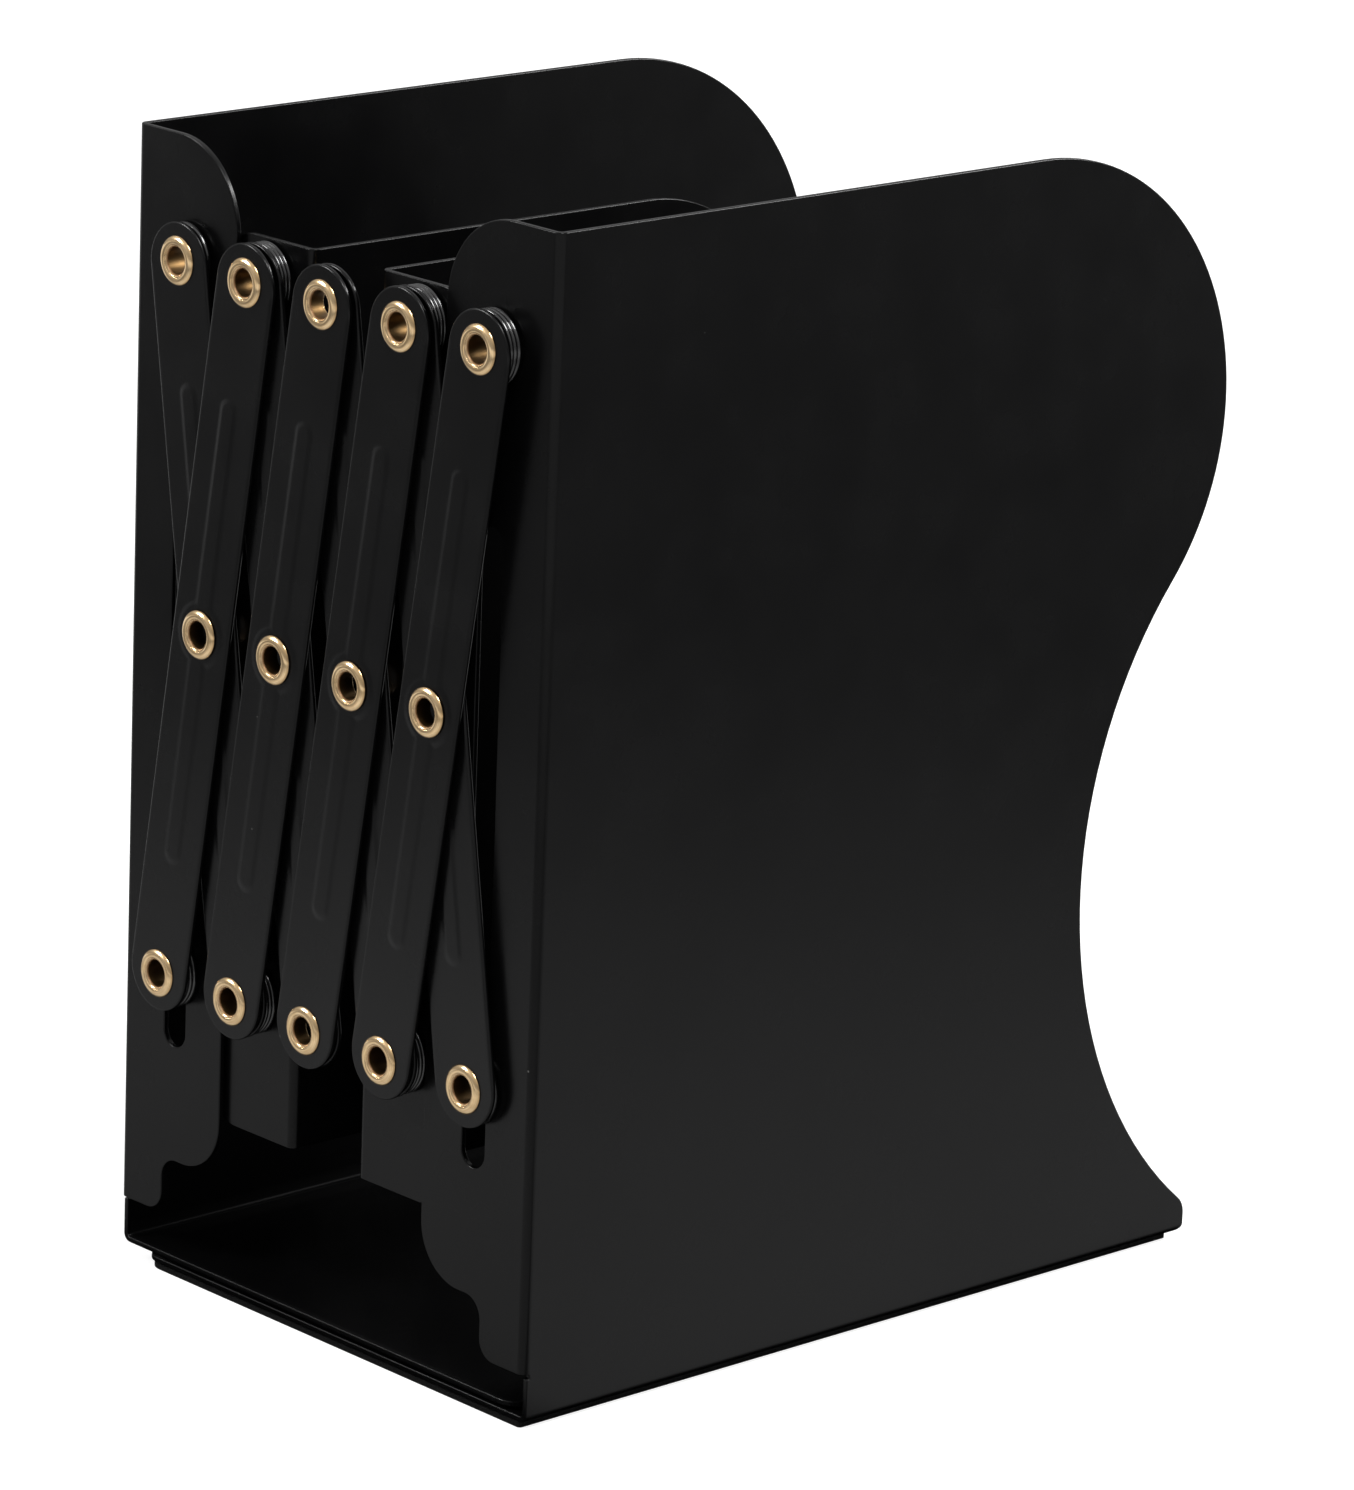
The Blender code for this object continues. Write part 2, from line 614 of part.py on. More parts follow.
def main():
    """Builds the whole bookend."""
    clear_scene()
    steel = make_material("black_powder_coat", (0.012, 0.012, 0.013), 0.5, 0.0)
    brass = make_material("brass", (0.80, 0.58, 0.27), 0.25, 1.0)
    rubber = make_material("rubber", (0.01, 0.01, 0.01), 0.9, 0.0)
    left_end = make_empty("left_end", (0, 0, 0))
    links = build_links(arm_mesh(steel), left_end)
    place = (-WIDTH / 2, SPINE_Y, 0)
    build_end_plate("left_end_plate", 1, LEFT_BASE_UNDERSIDE, FAR_BASE_WIDTH, steel, left_end, place)
    right_end = links["right_end"]
    place = local(right_end, (WIDTH / 2, SPINE_Y, 0))
    build_end_plate("right_end_plate", -1, RIGHT_BASE_UNDERSIDE, NEAR_BASE_WIDTH, steel, right_end, place)
    build_divider("left_divider", -1, pin_x(2), steel, links["left_divider"])
    build_divider("right_divider", 1, pin_x(CELLS), steel, links["right_divider"])
    build_end_pins(links, brass, steel)
    build_middle_pins(links, brass)
    build_pads(links, rubber)


main()
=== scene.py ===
"""Dresses an expandable bookend of black folded sheet steel with brass hollow rivets.

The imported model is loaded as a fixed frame. Every solid of it is then replaced by a finished
piece of the same size and place: folded sheets with rounded cut edges, scissor arms with a
pressed bead, rolled hollow rivets, stacked washers and foam pads. All lengths are in metres.
X is the row of books, +Y is the open front, +Z is up.
"""

from __future__ import annotations

import json
import logging
import math
from abc import ABC, abstractmethod
from collections.abc import Iterable, Mapping, Sequence
from dataclasses import dataclass
from enum import Enum
from typing import Any

import bmesh
import bpy
from mathutils import Matrix, Vector
from mathutils.geometry import delaunay_2d_cdt


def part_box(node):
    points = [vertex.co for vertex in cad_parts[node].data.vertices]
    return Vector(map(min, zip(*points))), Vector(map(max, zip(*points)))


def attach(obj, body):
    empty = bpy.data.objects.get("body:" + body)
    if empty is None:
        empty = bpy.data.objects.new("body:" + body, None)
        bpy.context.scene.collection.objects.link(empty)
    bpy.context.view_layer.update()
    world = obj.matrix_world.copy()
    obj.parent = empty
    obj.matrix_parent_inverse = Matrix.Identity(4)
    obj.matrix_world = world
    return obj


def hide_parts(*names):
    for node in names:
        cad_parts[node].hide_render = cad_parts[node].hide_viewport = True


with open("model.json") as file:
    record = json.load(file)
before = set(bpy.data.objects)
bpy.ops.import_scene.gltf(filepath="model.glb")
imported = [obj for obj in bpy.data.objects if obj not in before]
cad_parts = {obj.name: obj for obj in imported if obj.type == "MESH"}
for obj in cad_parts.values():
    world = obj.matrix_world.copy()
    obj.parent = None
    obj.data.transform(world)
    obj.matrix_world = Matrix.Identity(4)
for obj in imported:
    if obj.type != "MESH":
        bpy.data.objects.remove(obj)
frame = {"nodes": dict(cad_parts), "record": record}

LOG = logging.getLogger("bookend")

Point2 = tuple[float, float]
Point3 = tuple[float, float, float]
Colour = tuple[float, float, float]
Span = tuple[float, float]
Loop = Sequence[Point2]
Socket = bpy.types.NodeSocket

MM = 0.001
WELD = 0.000001
ARC_STEP_DEG = 2.5
SMALL_ARC_STEP_DEG = 9.0
SMALL_RADIUS = 0.006
INSIDE_ONLY = 1


class Side(Enum):
    """Which way a folded sheet faces: its panel's outer side towards -X or towards +X."""

    LEFT = 1
    RIGHT = -1


class Row(Enum):
    """The rows of rivets, by the word that begins their nodes' names."""

    TOP = "top"
    MIDDLE = "middle"
    BOTTOM = "bottom"


class Layer(Enum):
    """The two layers of scissor arms, by the word that begins their nodes' names."""

    BACK = "back"
    FRONT = "front"


class Slot(Enum):
    """The record's material slots."""

    COAT = "black_powder_coat"
    BRASS = "brass"
    RUBBER = "rubber"


BODIES = frame["record"]["behaviour"]["bodies"]
BODY_OF = {node: body for body, nodes in BODIES.items() for node in nodes}


def configured(thing: Any, **settings: Any) -> Any:
    """Sets properties of a node, a modifier, a camera or a light, and gives it back."""
    for name, value in settings.items():
        setattr(thing, name, value)
    return thing


class Graph:
    """Writes nodes and links into one node tree."""

    def __init__(self, tree: bpy.types.NodeTree) -> None:
        """Args:
        tree: The tree that the nodes go into.
        """
        self.tree = tree

    def plug(self, socket: Socket, value: Any) -> None:
        """Links a socket to another one, or gives it a value, a colour without its alpha."""
        if isinstance(value, Socket):
            self.tree.links.new(value, socket)
        else:
            socket.default_value = (*value, 1.0) if socket.type == "RGBA" else value

    def add(self, kind: str, inputs: Mapping | None = None, **settings: Any) -> bpy.types.Node:
        """Adds a node.

        Args:
            kind: The node's type name.
            inputs: Values or sockets for the node's inputs, by name or number.
            **settings: The node's own properties.

        Returns:
            The new node.
        """
        node = configured(self.tree.nodes.new(kind), **settings)
        for name, value in (inputs or {}).items():
            self.plug(node.inputs[name], value)
        return node

    def split(self, vector: Socket) -> bpy.types.NodeOutputs:
        """Adds a node that parts a vector, and gives its X, Y and Z."""
        return self.add("ShaderNodeSeparateXYZ", {0: vector}).outputs

    def math(self, operation: str, *values: Any) -> Socket:
        """Adds a math node for some numbers or sockets, and gives its output."""
        return self.add("ShaderNodeMath", dict(enumerate(values)), operation=operation).outputs[0]

    def times(self, first: Any, second: Any) -> Socket:
        """Multiplies two values."""
        return self.math("MULTIPLY", first, second)

    def less(self, first: Any, second: Any) -> Socket:
        """Takes the second value off the first."""
        return self.math("SUBTRACT", first, second)

    def ramp(
        self, value: Any, low: Any, high: Any, start: Any = 0.0, end: Any = 1.0, **settings: Any
    ) -> Socket:
        """Maps a value that runs from low to high to one from start to end, clamped."""
        values = dict(enumerate((value, low, high, start, end)))
        return self.add("ShaderNodeMapRange", values, **settings).outputs["Result"]

    def mix(self, factor: Any, first: Any, second: Any) -> Socket:
        """Mixes two colours.

        Args:
            factor: 0 for the first colour, 1 for the second.
            first: A colour or socket.
            second: A colour or socket.

        Returns:
            The mixed colour's socket.
        """
        node = self.add("ShaderNodeMix", data_type="RGBA")
        sockets = {"Factor_Float": factor, "A_Color": first, "B_Color": second}
        for socket in node.inputs:
            if socket.identifier in sockets:
                self.plug(socket, sockets[socket.identifier])
        return next(socket for socket in node.outputs if socket.identifier == "Result_Color")


@dataclass(frozen=True)
class Ripple:
    """One layer of noise that bumps a surface."""

    size: float
    detail: float
    depth: float
    strength: float = 0.6


@dataclass(frozen=True)
class Cloud:
    """Soft patches of noise: all of one kind below the low height, of the other above the high."""

    size: float
    detail: float
    low: float
    high: float


class SurfaceGraph(Graph):
    """A material's node tree, with its principled shader and coordinates at hand."""

    def __init__(self, name: str) -> None:
        """Args:
        name: The material's name.
        """
        self.material = bpy.data.materials.new(name)
        self.material.use_nodes = True
        super().__init__(self.material.node_tree)
        self.shader = self.tree.nodes["Principled BSDF"]
        self.output = self.tree.nodes["Material Output"]
        self.place = self.add("ShaderNodeTexCoord").outputs["Object"]

    def set(self, inputs: Mapping[str, Any]) -> None:
        """Sets or links inputs of the principled shader, by name."""
        for name, value in inputs.items():
            self.plug(self.shader.inputs[name], value)

    def noise(self, size: float, detail: float = 2.0, place: Any = None) -> Socket:
        """Smooth noise around one half, its waves as long as the size in its coordinates."""
        inputs = {"Vector": place or self.place, "Scale": 1.0 / size, "Detail": detail}
        return self.add("ShaderNodeTexNoise", inputs).outputs[0]

    def cloud(self, patches: Cloud, start: float = 0.0, end: float = 1.0) -> Socket:
        """Gives a value that changes softly from the start to the end in patches."""
        height = self.noise(patches.size, patches.detail)
        return self.ramp(height, patches.low, patches.high, start, end)

    def bump(self, height: Any, depth: float, strength: float, under: Any = None) -> Socket:
        """Bumps the surface.

        Args:
            height: The height, as a socket.
            depth: The distance in metres that a height of one stands for.
            strength: How much of it shows.
            under: A normal that this bump is added to.

        Returns:
            The bumped normal.
        """
        inputs = {"Height": height, "Distance": depth, "Strength": strength}
        if under is not None:
            inputs["Normal"] = under
        return self.add("ShaderNodeBump", inputs).outputs["Normal"]

    def ripples(self, *layers: Ripple) -> Any:
        """Bumps the surface with layers of noise, each on the one before, and gives the normal."""
        normal = None
        for each in layers:
            height = self.noise(each.size, each.detail)
            normal = self.bump(height, each.depth, each.strength, normal)
        return normal


@dataclass(frozen=True)
class PowderCoat:
    """A satin black powder coat with a fine orange peel and specks of dust.

    Books have polished it on the bases between the end plates, where its roughness is
    multiplied by the base's own, or by the fold's close to the plates.
    """

    name: str = "satin_black_powder_coat"
    deep: Colour = (0.0011, 0.0011, 0.0012)
    worn: Colour = (0.0018, 0.0018, 0.0019)
    dust: Colour = (0.06, 0.06, 0.057)
    specular: float = 0.15
    smoothest: float = 0.22
    roughest: float = 0.29
    rough_patches: Cloud = Cloud(35 * MM / 3, 3.0, 0.3, 0.7)
    worn_patches: Cloud = Cloud(35 * MM, 4.0, 0.35, 0.65)
    waves: Ripple = Ripple(60 * MM, 1.0, 0.15 * MM, 0.5)
    peel: Ripple = Ripple(1.3 * MM, 2.0, 0.020 * MM)
    grain: Ripple = Ripple(0.28 * MM, 2.0, 0.006 * MM)
    speck_spacing: float = 8 * MM
    speck_share: float = 0.022
    dusty_share: float = 0.45
    base_height: Span = (4.6 * MM, 6.5 * MM)
    base_half_width: Span = (50.5 * MM, 51.0 * MM)
    base_back: Span = (-73.0 * MM, -72.5 * MM)
    fold_width: Span = (50.0 * MM, 50.25 * MM)
    base_roughness: float = 0.40
    fold_roughness: float = 3.0
    base_specular: float = 0.03

    def build(self) -> bpy.types.Material:
        """Builds the material.

        Returns:
            The new material.
        """
        g = SurfaceGraph(self.name)
        inputs = {"Vector": g.place, "Scale": 1.0 / self.speck_spacing}
        cells = g.add("ShaderNodeTexVoronoi", inputs)
        pick = g.add("ShaderNodeSeparateColor", {"Color": cells.outputs["Color"]}).outputs["Red"]
        near = g.math("LESS_THAN", cells.outputs["Distance"], self.speck_share)
        speck = g.times(near, g.math("LESS_THAN", pick, self.dusty_share))
        coat = g.mix(g.cloud(self.worn_patches), self.deep, self.worn)
        colour = g.mix(speck, coat, self.dust)
        rough = g.cloud(self.rough_patches, self.smoothest, self.roughest)
        x, y, z = g.split(g.place)
        aside = g.math("ABSOLUTE", x)
        low = g.ramp(z, *self.base_height, 1.0, 0.0)
        base = g.times(low, g.ramp(y, *self.base_back))
        base = g.times(base, g.ramp(aside, *self.base_half_width, 1.0, 0.0))
        polish = g.ramp(aside, *self.fold_width, self.base_roughness, self.fold_roughness)
        rough = g.times(rough, g.ramp(base, 0.0, 1.0, 1.0, polish))
        normal = g.ripples(self.waves, self.peel, self.grain)
        gloss = g.ramp(base, 0.0, 1.0, self.specular, self.base_specular)
        g.set({"Base Color": colour, "Roughness": rough, "Normal": normal})
        g.set({"Specular IOR Level": gloss, "Metallic": 0.0})
        return g.material


@dataclass(frozen=True)
class RolledBrass:
    """Bright rolled brass with fine lines round the rivet and patches of tarnish. Its rims carry
    painted shade: a dark brown band where the head meets the arm and round the bore. The bore wall
    is dark, partly tarnish and partly painted shade inside the tube.
    """

    name: str = "rolled_brass"
    bright: Colour = (0.86, 0.64, 0.38)
    tarnished: Colour = (0.62, 0.42, 0.21)
    # painted shade: the dark brown of the head's outer edge, where it meets the arm, and of the
    # inner rim round the bore
    rim: Colour = (0.16, 0.075, 0.025)
    smoothest: float = 0.13
    roughest: float = 0.26
    rough_patches: Cloud = Cloud(1.1 * MM, 2.0, 0.3, 0.7)
    tarnish_patches: Cloud = Cloud(2.2 * MM, 3.0, 0.42, 0.78)
    tarnish_tone: float = 0.8
    # the bore wall's dark colour is partly tarnish and partly painted shade inside the tube
    wall: Colour = (0.115, 0.068, 0.027)
    wall_roughness: float = 0.45
    wall_start: float = 0.94
    head_end: float = 0.5455
    rim_shade_width: float = 0.15
    inner_rim_shade: Span = (0.05, 0.19)
    inner_roughness: float = 0.50
    inner_metal: float = 0.45
    crease_place: float = 0.17
    crease_half_width: float = 0.018
    crease_depth: float = 0.05 * MM
    line_share: float = 0.03
    line_stretch: Point3 = (0.15, 1.0, 1.0)
    line_range: Span = (0.42, 0.62)
    line_tone: float = 0.75
    line_depth: float = 0.002 * MM
    line_strength: float = 0.5
    dents: Ripple = Ripple(1.7 * MM, 1.0, 0.008 * MM, 0.5)

    def build(self) -> bpy.types.Material:
        """Builds the material.

        Returns:
            The new material.
        """
        g = SurfaceGraph(self.name)
        around = g.add("ShaderNodeUVMap", uv_map=Lathe.UV_NAME).outputs["UV"]
        inputs = {"Vector": around, "Scale": self.line_stretch}
        stretch = g.add("ShaderNodeMapping", inputs).outputs["Vector"]
        lines = g.noise(self.line_share, place=stretch)
        rough = g.cloud(self.rough_patches, self.smoothest, self.roughest)
        along = g.split(around)["Y"]
        wall = g.math("GREATER_THAN", along, self.wall_start)
        rough = g.math("MAXIMUM", rough, g.times(wall, self.wall_roughness))
        from_rim = self.away(g, along, self.head_end)
        # painted shade: a dark brown band along the head's outer edge, where it meets the arm
        colour = g.mix(g.ramp(from_rim, 0.0, self.rim_shade_width), self.rim, self.bright)
        tarnish = g.cloud(self.tarnish_patches, 0.0, self.tarnish_tone)
        colour = g.mix(tarnish, colour, self.tarnished)
        dark_lines = g.ramp(lines, *self.line_range, 0.0, self.line_tone)
        colour = g.mix(dark_lines, colour, self.tarnished)
        # painted shade: the inner rim round the bore takes the dark rim colour, with less metal and
        # more roughness there
        bright = g.ramp(along, *self.inner_rim_shade)
        # painted shade: the bore wall gets its dark colour, partly tarnish
        colour = g.mix(wall, g.mix(bright, self.rim, colour), self.wall)
        rough = g.math("MAXIMUM", rough, g.ramp(bright, 0.0, 1.0, self.inner_roughness, 0.0))
        groove = g.ramp(self.away(g, along, self.crease_place), 0.0, self.crease_half_width)
        crease = g.bump(groove, self.crease_depth, 1.0, g.ripples(self.dents))
        metal = g.ramp(bright, 0.0, 1.0, self.inner_metal, 1.0)
        g.set({"Base Color": colour, "Roughness": rough, "Metallic": metal})
        g.set({"Normal": g.bump(lines, self.line_depth, self.line_strength, crease)})
        return g.material

    @staticmethod
    def away(g: SurfaceGraph, along: Any, line: float) -> Socket:
        """How far a point lies from a line round the rivet, as a share of its profile."""
        return g.math("ABSOLUTE", g.less(along, line))


@dataclass(frozen=True)
class FoamRubber:
    """Matt black non-slip foam rubber with small open cells, their pits painted darker as shade."""

    name: str = "black_foam_rubber"
    skin: Colour = (0.0045, 0.0045, 0.0045)
    # painted shade: the darker colour of the cells' recessed pits
    pit_shade: Colour = (0.0015, 0.0015, 0.0015)
    cell_size: float = 0.45 * MM
    pit_depth: float = 0.12 * MM
    pit_strength: float = 0.6
    skin_range: Span = (0.15, 0.55)
    roughest: float = 0.95
    smoothest: float = 0.78
    specular: float = 0.15

    def build(self) -> bpy.types.Material:
        """Builds the material.

        Returns:
            The new material.
        """
        g = SurfaceGraph(self.name)
        inputs = {"Vector": g.place, "Scale": 1.0 / self.cell_size}
        cells = g.add("ShaderNodeTexVoronoi", inputs).outputs["Distance"]
        skin = g.ramp(cells, *self.skin_range)
        # painted shade: the pits between the skin are darker
        colour = g.mix(skin, self.pit_shade, self.skin)
        g.set({"Base Color": colour, "Specular IOR Level": self.specular})
        g.set({"Roughness": g.ramp(skin, 0.0, 1.0, self.roughest, self.smoothest)})
        g.set({"Normal": g.bump(skin, self.pit_depth, self.pit_strength)})
        return g.material


@dataclass(frozen=True)
class Finishes:
    """The materials of the bookend, built once."""

    coat: bpy.types.Material
    arm_coat: bpy.types.Material
    rim_coat: bpy.types.Material
    brass: bpy.types.Material
    rubber: bpy.types.Material

    def of(self, slot: Slot, node: str) -> bpy.types.Material:
        """Gives a node's material; the coat is glossier on arms and rubbed on spacers."""
        coat = self.arm_coat if "_arm_" in node else self.coat
        coat = self.rim_coat if "_spacer_" in node else coat
        return {Slot.COAT: coat, Slot.BRASS: self.brass, Slot.RUBBER: self.rubber}[slot]


def arc(centre: Point2, radius: float, start: float, end: float) -> list[Point2]:
    """Points along an arc.

    Args:
        centre: The arc's centre.
        radius: Its radius.
        start: Its first angle in degrees.
        end: Its last angle in degrees.

    Returns:
        The points, both ends among them.
    """
    step = SMALL_ARC_STEP_DEG if radius < SMALL_RADIUS else ARC_STEP_DEG
    count = max(2, math.ceil(abs(end - start) / step))
    angles = [math.radians(start + (end - start) * number / count) for number in range(count + 1)]
    return [(centre[0] + radius * math.cos(a), centre[1] + radius * math.sin(a)) for a in angles]


def arcs(*turns: tuple[Point2, float, float, float]) -> list[Point2]:
    """Points along arcs that follow one another, each given as arc's arguments."""
    return [point for turn in turns for point in arc(*turn)]


def circle(centre: Point2, radius: float) -> list[Point2]:
    """Points round a whole circle, without a double point."""
    return arc(centre, radius, 0, 360)[:-1]


def stadium(low: float, high: float, radius: float, across: float = 0.0) -> list[Point2]:
    """A slot's outline standing on end, from the centres of its lower and its upper end."""
    return arcs(((across, high), radius, 0, 180), ((across, low), radius, 180, 360))


def inside(point: Sequence[float], loop: Loop) -> bool:
    """Tells whether a point lies inside a closed loop.

    Args:
        point: The point.
        loop: The loop's points.

    Returns:
        True if it does.
    """
    crossings = 0
    for (x0, y0), (x1, y1) in zip(loop, [*loop[1:], loop[0]]):
        if (y0 > point[1]) != (y1 > point[1]):
            crossings += point[0] < x0 + (point[1] - y0) * (x1 - x0) / (y1 - y0)
    return crossings % 2 == 1


def triangulated(loops: Sequence[Loop], holes: Sequence[Loop]) -> list[Loop]:
    """Fills nested closed loops with triangles that keep to every loop, but for the holes.

    Args:
        loops: The outer loop first, then the loops inside it.
        holes: The loops that stay open.

    Returns:
        The triangles.
    """
    points: list[Vector] = []
    edges: list[tuple[int, int]] = []
    for loop in [*loops, *holes]:
        first = len(points)
        points += [Vector(point) for point in loop]
        edges += [(first + i, first + (i + 1) % len(loop)) for i in range(len(loop))]
    places, _, faces = delaunay_2d_cdt(points, edges, [], INSIDE_ONLY, WELD)[:3]
    filled = []
    for face in faces:
        corners = [(places[number].x, places[number].y) for number in face]
        middle = [sum(values) / len(corners) for values in zip(*corners)]
        if not any(inside(middle, hole) for hole in holes):
            filled.append(corners)
    return filled


def linked(name: str, data: Any) -> bpy.types.Object:
    """Makes an object of its data and links it into the scene."""
    thing = bpy.data.objects.new(name, data)
    bpy.context.scene.collection.objects.link(thing)
    return thing


def aimed(place: Point3, ahead: Vector, roll_deg: float = 0.0) -> Matrix:
    """Gives the pose of a camera or a light.

    Args:
        place: Where it stands.
        ahead: The direction that it looks in.
        roll_deg: How far it is turned round that direction.

    Returns:
        Its matrix in the world.
    """
    aim = ahead.to_track_quat("-Z", "Y").to_matrix()
    turn = Matrix.Rotation(math.radians(roll_deg), 3, "Z")
    return Matrix.Translation(place) @ (aim @ turn).to_4x4()


def mesh_of(bm: bmesh.types.BMesh, name: str) -> bpy.types.Mesh:
    """Turns a bmesh into a smooth mesh and frees it.

    Args:
        bm: The bmesh.
        name: The mesh's name.

    Returns:
        The mesh.
    """
    mesh = bpy.data.meshes.new(name)
    bm.to_mesh(mesh)
    bm.free()
    mesh.shade_smooth()
    return mesh


def outward(mesh: bpy.types.Mesh) -> bpy.types.Mesh:
    """Turns the faces of a closed mesh outwards and gives it back."""
    bm = bmesh.new()
    bm.from_mesh(mesh)
    bmesh.ops.recalc_face_normals(bm, faces=bm.faces)
    bm.to_mesh(mesh)
    bm.free()
    return mesh


@dataclass
class Piece:
    """One piece that stands for one node of the frame."""

    node: str
    mesh: bpy.types.Mesh
    slot: Slot
    wall: float = 0.0
    edge: float = 0.0
    edge_steps: int = 3
    sharp_deg: float = 50.0
    flatness: int = 80

    def finish(self, finishes: Finishes) -> bpy.types.Object:
        """Gives the piece its wall, its rounded edges and its material, and ties it to the frame.

        Args:
            finishes: The materials.

        Returns:
            The finished object.
        """
        thing = linked(f"{self.node}_finished", self.mesh)
        self.mesh.materials.clear()
        self.mesh.materials.append(finishes.of(self.slot, self.node))
        if self.wall:
            self.thicken(thing)
        if self.edge:
            self.round_edges(thing)
        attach(thing, BODY_OF[self.node])
        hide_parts(self.node)
        LOG.info("%s: %d faces before its modifiers", thing.name, len(self.mesh.polygons))
        return thing

    def thicken(self, thing: bpy.types.Object) -> None:
        """Gives the sheet its wall, on the inner side of its faces."""
        wall = configured(thing.modifiers.new("Wall", "SOLIDIFY"), thickness=self.wall, offset=-1)
        configured(wall, use_even_offset=True, use_quality_normals=True)

    def round_edges(self, thing: bpy.types.Object) -> None:
        """Rounds the cut edges and keeps the flat faces flat."""
        bevel = thing.modifiers.new("Rounded edges", "BEVEL")
        configured(bevel, width=self.edge, segments=self.edge_steps, limit_method="ANGLE")
        bevel.angle_limit = math.radians(self.sharp_deg)
        configured(bevel, harden_normals=True, use_clamp_overlap=True)
        flat = thing.modifiers.new("Flat faces", "WEIGHTED_NORMAL")
        configured(flat, mode="FACE_AREA", weight=self.flatness)


@dataclass(frozen=True)
class CurvedFront:
    """The front edge of a panel: a crown, a waist and a toe, each tangent to the next."""

    crown_radius: float
    crown_depth: float
    waist_radius: float
    waist_height: float
    foot_depth: float
    toe_radius: float = 4.0 * MM

    def points(self, top: float, bottom: float) -> list[Point2]:
        """The edge's points as depths and heights.

        Args:
            top: The height of the panel's top.
            bottom: The height that the edge ends at.

        Returns:
            The points, from the top down.
        """
        crown = (self.crown_depth, top - self.crown_radius)
        reach = self.crown_radius + self.waist_radius
        drop = crown[1] - self.waist_height
        waist = (crown[0] + math.sqrt(reach**2 - drop**2), self.waist_height)
        toe_depth = self.foot_depth - self.toe_radius
        toe_reach = self.waist_radius + self.toe_radius
        toe = (toe_depth, self.waist_height - math.sqrt(toe_reach**2 - (waist[0] - toe_depth) ** 2))
        to_waist = math.degrees(math.atan2(waist[1] - crown[1], waist[0] - crown[0]))
        to_toe = math.degrees(math.atan2(toe[1] - waist[1], toe[0] - waist[0])) + 360
        points = arc(crown, self.crown_radius, 90, to_waist)
        points += arc(waist, self.waist_radius, to_waist + 180, to_toe)[1:]
        points += arc(toe, self.toe_radius, to_toe - 180, 0)[1:]
        return points + [(self.foot_depth, bottom)]


class FoldedSheet:
    """Collects the outer faces of a folded sheet and welds them into one mesh."""

    FLAT_DEG = 0.1

    def __init__(self, side: Side, low: Vector, high: Vector) -> None:
        """Args:
        side: Which way the panel faces.
        low: The low corner of the sheet's box.
        high: The high corner of the sheet's box.
        """
        self.side, self.low, self.high = side, low, high
        self.corner = (low.x if side is Side.LEFT else high.x, low.y, 0.0)
        self.bm = bmesh.new()

    def face(self, points: Iterable[Point3]) -> None:
        """Adds one flat face, counted from the corner on the panel's and the flange's outside."""
        x0, y0, z0 = self.corner
        turned = [(x0 + self.side.value * x, y0 + y, z0 + z) for x, y, z in points]
        self.bm.faces.new([self.bm.verts.new(point) for point in turned])

    def pierced(self, outline: Loop, holes: Sequence[Loop]) -> None:
        """Adds a flange on Y = 0, from its outline and its holes as widths and heights."""
        for triangle in triangulated([outline], holes):
            self.face([(x, 0.0, z) for x, z in triangle])

    def strips(self, rows: Sequence[tuple[Point3, Point3]]) -> None:
        """Adds faces that join each row of two points to the next."""
        for low, high in zip(rows[:-1], rows[1:]):
            self.face([low[0], low[1], high[1], high[0]])

    def mesh(self, name: str) -> bpy.types.Mesh:
        """Welds the faces and points them outwards.

        Args:
            name: The mesh's name.

        Returns:
            The open outer skin of the sheet.
        """
        bm = self.bm
        bmesh.ops.remove_doubles(bm, verts=bm.verts, dist=WELD)
        bmesh.ops.recalc_face_normals(bm, faces=bm.faces)
        panel = max(bm.faces, key=lambda face: face.calc_area())
        if panel.normal.x * self.side.value > 0:
            bmesh.ops.reverse_faces(bm, faces=bm.faces)
        least = math.radians(self.FLAT_DEG)
        flat = [edge for edge in bm.edges if edge.is_manifold and edge.calc_face_angle() < least]
        bmesh.ops.dissolve_edges(bm, edges=flat, use_verts=False)
        return mesh_of(bm, name)


@dataclass(frozen=True)
class Bend:
    """A right-angled bend in a sheet."""

    radius: float = 1.5 * MM
    steps: int = 6

    def rows(self) -> list[Point2]:
        """How far in and how far down each row of the bend's outer face lies."""
        turns = [math.pi / 2 * step / self.steps for step in range(self.steps + 1)]
        return [(self.radius * (1 - math.cos(a)), self.radius * (1 - math.sin(a))) for a in turns]


def pin_place(row: Row, number: int) -> tuple[float, float]:
    """Where a rivet stands, from its node's box.

    Args:
        row: The rivet's row.
        number: Its number in the row, from the left.

    Returns:
        Its place along X and Z.
    """
    low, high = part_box(f"{row.value}_rivet_{number}")
    return (low.x + high.x) / 2, (low.z + high.z) / 2


